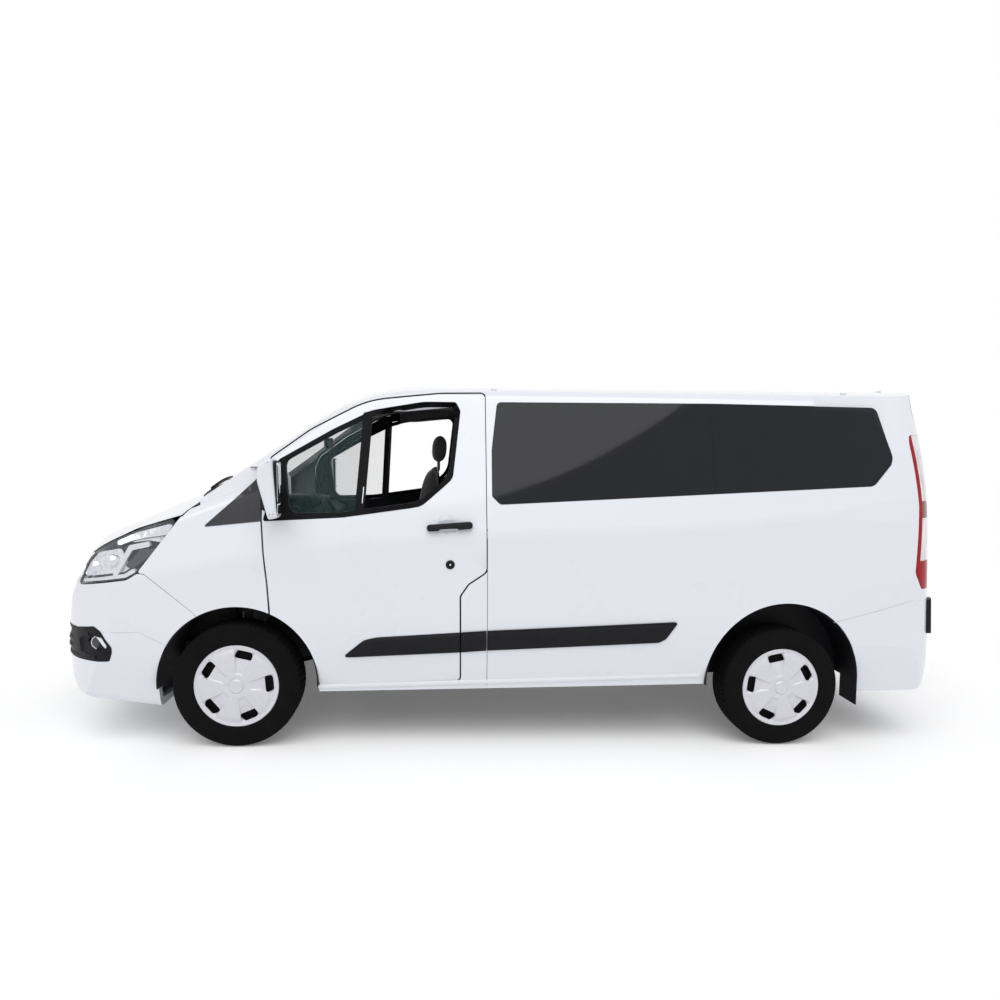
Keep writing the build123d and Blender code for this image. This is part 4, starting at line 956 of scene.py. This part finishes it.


# the pillar and bumper lines are painted shade along a panel gap and the bumpers' seams and creases; glass_bar is
# a dark bar in the side glass
SEAMS = {  # line, look and half width
    "pillar_seam": ([(153, 330), (152, 1180)], "seam_shade", 1.3),
    "bumper_seam": ([(2119, 657), (1938, 655), (1804, 582)], "faint_seam", 1.2),
    "glass_bar": ([(-1087, 1366), (-1087, 1849)], "privacy_glass", 7.0),
    "rear_bumper_seam": ([(-1761, 655), (-2000, 712), (-2215, 771)], "faint_seam", 1.5),
}
for side, s in SIDES:
    o = strip(f"door_strip_{side}", 914, 299, f"door_{side}", s)
    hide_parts(f"door_{side}_trim")
    strip(f"pillar_strip_{side}", 291, 157, "body", s)
    strip(f"side_strip_{side}", 149, -871, "body", s)
    for name, (line, look, w) in SEAMS.items():
        side_band(f"{name}_{side}", dense(line, 25, closed=False), box_section(-w, w, -2, 0.8), "body", look,
                  side=s, closed=False)


# ---- seats: the pads are modelled directly, because they are seen through glass or an open door ----
def pad(name, place, half_u, half_v, thick, channels_v=(), channels_u=(), bolster=0.0, taper=0.0, nu=44,
        nv=36, edge=5.0):
    """A sewn cushion: crowned, pulled in along its sides, with channels; place(u, v, w) in mm."""
    bm = bmesh.new()
    grid = {}
    for face in (1, -1):
        for i in range(nu + 1):
            for j in range(nv + 1):
                rim = i in (0, nu) or j in (0, nv)
                if face == -1 and rim:
                    grid[face, i, j] = grid[1, i, j]
                    continue
                u, v = math.sin(math.pi * (i / nu - 0.5)), math.sin(math.pi * (j / nv - 0.5))
                body = ((1 - abs(u) ** edge) * (1 - abs(v) ** edge)) ** 0.42 if not rim else 0.0
                h = thick / 2 * body * (0.86 + 0.14 * math.cos(math.pi * u / 2) * math.cos(math.pi * v / 2))
                if face == 1:
                    h += bolster * math.exp(-((abs(u) - 0.80) / 0.12) ** 2) * body
                    dip = sum(math.exp(-((v * half_v - c) / 5.0) ** 2) for c in channels_v)
                    dip += sum(math.exp(-((u * half_u - c) / 5.0) ** 2) for c in channels_u)
                    h -= 9.0 * min(1.0, dip) * body
                wide = 1 - 0.022 * (1 - v * v) - taper * ((v + 1) / 2) ** 3
                long = 1 - 0.015 * (1 - u * u)
                grid[face, i, j] = bm.verts.new(place(u * half_u * wide, v * half_v * long, face * h))
    for face in (1, -1):
        for i in range(nu):
            for j in range(nv):
                q = [grid[face, i, j], grid[face, i + 1, j], grid[face, i + 1, j + 1], grid[face, i, j + 1]]
                bm.faces.new(q[::face])
    o = piece(name, bm, "body", "seat_fabric", smooth=60)
    return o


CUSHION_Z, BACK_Z, HEAD_Z, POST_Z = 862, 1180, 1600, 1511          # level heights of their middles
PLINTH_Z = (541, 812)
LEAN = math.atan2(100, 610)                                        # of the backs


def seat(name, node, x, y, span, heads, splits=()):
    """Seat or bench where its CAD solid stands; x is the cushion's front."""
    half = span / 2 - 4
    seat_pad = lambda u, v, w: P(x - 252 + v, y + u, CUSHION_Z + w + 8 * (v / 250))
    back_pad = lambda u, v, w: P(x - 512 - v * math.sin(LEAN) + w * math.cos(LEAN), y + u,
                                 BACK_Z + v * math.cos(LEAN) + w * math.sin(LEAN))
    cuts = [c - y for c in splits]
    parts = [pad(f"{name}_cushion", seat_pad, half, 240, 112, channels_v=(-60, 60), channels_u=cuts,
                 bolster=0 if cuts else 10),
             pad(f"{name}_back", back_pad, half - 8, 305, 104, channels_v=(-140, 0, 140), channels_u=cuts,
                 bolster=0 if cuts else 12, taper=0.02 if cuts else 0.08)]
    for k, h in enumerate(heads):
        head = lambda u, v, w, h=h: P(x - 596 - 0.06 * v + w, h + u, HEAD_Z + v)
        parts.append(pad(f"{name}_head_{k}", head, 120, 74, 84, nu=28, nv=20, edge=3.5, taper=0.06))
        for q, off in enumerate((-60, 60)):
            rod = [(0.01, -49), (6, -49), (6, 49), (0.01, 49)]
            o = piece(f"{name}_post_{k}_{q}", revolve(rod, P(x - 588, h + off, POST_Z), 20, axis="Z"), "body",
                      "steel")
            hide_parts(node)
    plinth = rectangle(x - 420, x - 60, y - span / 2 + 60, y + span / 2 - 60, 25)
    parts.append(pillow(f"{name}_plinth", outline(plinth, 40), *PLINTH_Z, 8, P, "body", "trim",
                        slot="seat_fabric"))
    for o in parts:
        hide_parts(node)


seat("driver_seat", "front_seats", 1000, 430, 520, (430,))
seat("front_bench", "front_seats", 1000, -330, 860, (-540, -130), splits=(-335,))
seat("second_row", "rear_seats", -60, -100, 1240, (-500, -100, 300), splits=(-300, 100))
seat("third_row", "rear_seats", -1000, 0, 1240, (-400, 0, 400), splits=(-200, 200))

# ---- dash and cabin ----
HOOD = [(1120, 270, 50), (1290, 240, 60), (1290, 600, 60), (1120, 570, 50)]
CENTRE = [(1150, -190, 40), (1290, -220, 50), (1290, 190, 50), (1150, 160, 40)]
TOP = [(1180, -700, 60), (1440, -640, 80), (1440, 640, 80), (1180, 700, 60)]
pillow("dash_hood", outline(HOOD, 20), 1250, 1338, 34, P, "body", "trim", steps=6)
pillow("dash_centre", outline(CENTRE, 20), 1250, 1312, 26, P, "body", "trim", steps=5)
pillow("dash_top", outline(TOP, 30), 1240, 1280, 16, P, "body", "trim", steps=5)
visor_at = lambda u, v, w: P(905 + 0.75 * (u - 905) - w * 0.5, v, 1795 - 0.42 * (u - 905) + w)
for side, s in SIDES:
    visor = [(850, s * 170, 30), (1000, s * 180, 30), (1000, s * 560, 30), (850, s * 580, 30)]
    pillow(f"sun_visor_{side}", outline(visor, 20), -34, -16, 8, visor_at, "body", "trim_grey")
glass = outline(rectangle(-115, 115, 1600, 1668, 30), 12)
pillow("inner_mirror", glass, 1085, 1112, 9, lambda u, v, w: P(w, u, v), "body", "trim",
       slot="black_plastic")
stem = [(0.01, -50), (7, -50), (7, 50), (0.01, 50)]
piece("inner_mirror_stem", revolve(stem, P(1122, 0, 1662), 20, axis="X"), "body", "trim")


# ---- tailgate ----
def rear_at(u, v, w):
    """A point w mm off the tail's surface at level y = u and z = v."""
    return TAIL.ray_cast(P(-3200, u, v), P(1, 0, 0) - P(0, 0, 0))[0] - Vector((w / 1000, 0, 0))


def on_tail(name, corners, step, lo, hi, soft, look, body="tailgate"):
    pillow(name, outline(corners, step), lo, hi, soft, rear_at, body, look)


on_tail("tailgate_handle_bar", [(-330, 1222, 16), (330, 1222, 16), (318, 1262, 16), (-318, 1262, 16)], 15,
        -2, 14, 6, "paint")
on_tail("tailgate_grip", rectangle(-75, 75, 1200, 1224, 10), 12, -2, 12, 5, "black_plastic")
on_tail("high_stop_lamp", rectangle(-120, 120, 1822, 1846, 8), 12, -2, 5, 3, "red_lens")
for k, y in enumerate((-255, 255)):
    on_tail(f"plate_lamp_{k}", rectangle(y - 30, y + 30, 1206, 1220, 5), 10, -2, 5, 2, "lamp_white")
WIPER_HUB = [(0.01, -30), (24, -30), (27, -12), (22, -2), (10, 0), (0.01, 0)]
piece("rear_wiper_hub", revolve(WIPER_HUB, rear_at(0, 1345, 2), 32, axis="X"), "tailgate", "black_plastic")
on_tail("rear_wiper_arm", [(-14, 1333, 10), (16, 1331, 10), (14, 1362, 8), (-205, 1420, 6), (-208, 1408, 5)],
        14, 16, 26, 4, "black_plastic")
on_tail("rear_wiper_blade", [(-20, 1394, 4), (-24, 1380, 4), (-390, 1456, 4), (-388, 1469, 4)], 14,
        1, 17, 3, "seal")
for side, s in SIDES:
    on_tail(f"rear_reflector_{side}", rectangle(s * 700, s * 790, 430, 480, 8), 14, -2, 5, 2, "red_lens",
            body="body")


# ---- sliding door ----
SLIDE_X, SLIDE_Z = -410, -4          # from the front door's handle to this one
door_handle("sliding_door_handle", "", -1, "body", SLIDE_X, SLIDE_Z)
carved("sliding_door", "body", "sliding_door_panel", RECESS[0] + SLIDE_X, RECESS[1] + SLIDE_Z, -1)


# ---- sills ----
SILL_LINE = [(1045, 340), (160, 352), (-1015, 364)]
SILL_SECTION = [(-13, -2), (13, -2), (12, 1.5), (7, 4.2), (0, 5.2), (-7, 4.2), (-12, 1.5)]
for side, s in SIDES:
    side_band(f"sill_roll_{side}", dense(SILL_LINE, 30, closed=False), SILL_SECTION, "body", "paint", side=s,
              closed=False)


# ---- floor, light and camera ----
FLOOR_GAIN = 0.13          # brings the lit floor up to white where it is seen; its shadow stays
SKY = 0.52                 # light that the world gives to the object
BACKDROP = 1.0             # the same world as seen directly, in gloss and through glass


def clean_rays(nt):
    """1 where a surface is seen directly, in gloss or through glass."""
    path = nt.nodes.new("ShaderNodeLightPath")
    seen = path.outputs["Is Camera Ray"]
    for kind in ("Is Glossy Ray", "Is Transmission Ray"):
        either = nt.nodes.new("ShaderNodeMath")
        either.operation = "MAXIMUM"
        nt.links.new(seen, either.inputs[0])
        nt.links.new(path.outputs[kind], either.inputs[1])
        seen = either.outputs[0]
    return seen


bm = bmesh.new()
bmesh.ops.create_grid(bm, x_segments=8, y_segments=8, size=400)
ground = object_of("floor", bm)
white = material("floor_white", (0.97, 0.97, 0.97), 0.95, 0.0, spec=0.0)
nt = white.node_tree
shader = set_inputs(nt.nodes["Principled BSDF"], Emission_Color=(1, 1, 1, 1))
gain = nt.nodes.new("ShaderNodeMath")
gain.operation = "MULTIPLY"
gain.inputs[1].default_value = FLOOR_GAIN
nt.links.new(clean_rays(nt), gain.inputs[0])
nt.links.new(gain.outputs[0], shader.inputs["Emission Strength"])
ground.data.materials.append(white)

world = bpy.data.worlds.new("studio")
bpy.context.scene.world = world
world.use_nodes = True
nt = world.node_tree
sky = set_inputs(nt.nodes["Background"], Color=(0.985, 0.99, 1, 1), Strength=SKY)
clean = set_inputs(nt.nodes.new("ShaderNodeBackground"), Color=(1, 1, 1, 1), Strength=BACKDROP)
mix = nt.nodes.new("ShaderNodeMixShader")
nt.links.new(clean_rays(nt), mix.inputs["Fac"])
nt.links.new(sky.outputs["Background"], mix.inputs[1])
nt.links.new(clean.outputs["Background"], mix.inputs[2])
nt.links.new(mix.outputs["Shader"], nt.nodes["World Output"].inputs["Surface"])

lamp = bpy.data.lights.new("overhead", "SUN")
lamp.energy = 1.5
lamp.angle = math.radians(60)
in_scene("overhead", lamp).rotation_euler = (math.radians(-33), math.radians(6), 0)

# the camera as fitted to the photo: turns in radians, place in metres, focal length in pixels of 1000
YAW, PITCH, ROLL = 0.0925, 0.0983, 0.0285
CAMERA_AT = Vector((0.4102 + SHIFT, 5.1771, 1.5592))
FOCAL = 806.06
cam_data = bpy.data.cameras.new("camera")
cam = in_scene("camera", cam_data)
fwd = Vector((-math.sin(YAW) * math.cos(PITCH), -math.cos(YAW) * math.cos(PITCH), -math.sin(PITCH)))
right0 = fwd.cross(Vector((0, 0, 1))).normalized()
up0 = right0.cross(fwd)
right = right0 * math.cos(ROLL) + up0 * math.sin(ROLL)
up = up0 * math.cos(ROLL) - right0 * math.sin(ROLL)
place = Matrix((right, up, -fwd)).transposed().to_4x4()
place.translation = CAMERA_AT
cam.matrix_world = place
cam_data.sensor_width = 36.0
cam_data.sensor_fit = "HORIZONTAL"
cam_data.lens = 36.0 * FOCAL / 1000
cam_data.shift_x = -0.01764
cam_data.shift_y = 0.03603
cam_data.clip_end = 2000
bpy.context.scene.camera = cam
bpy.context.scene.view_settings.view_transform = "Standard"
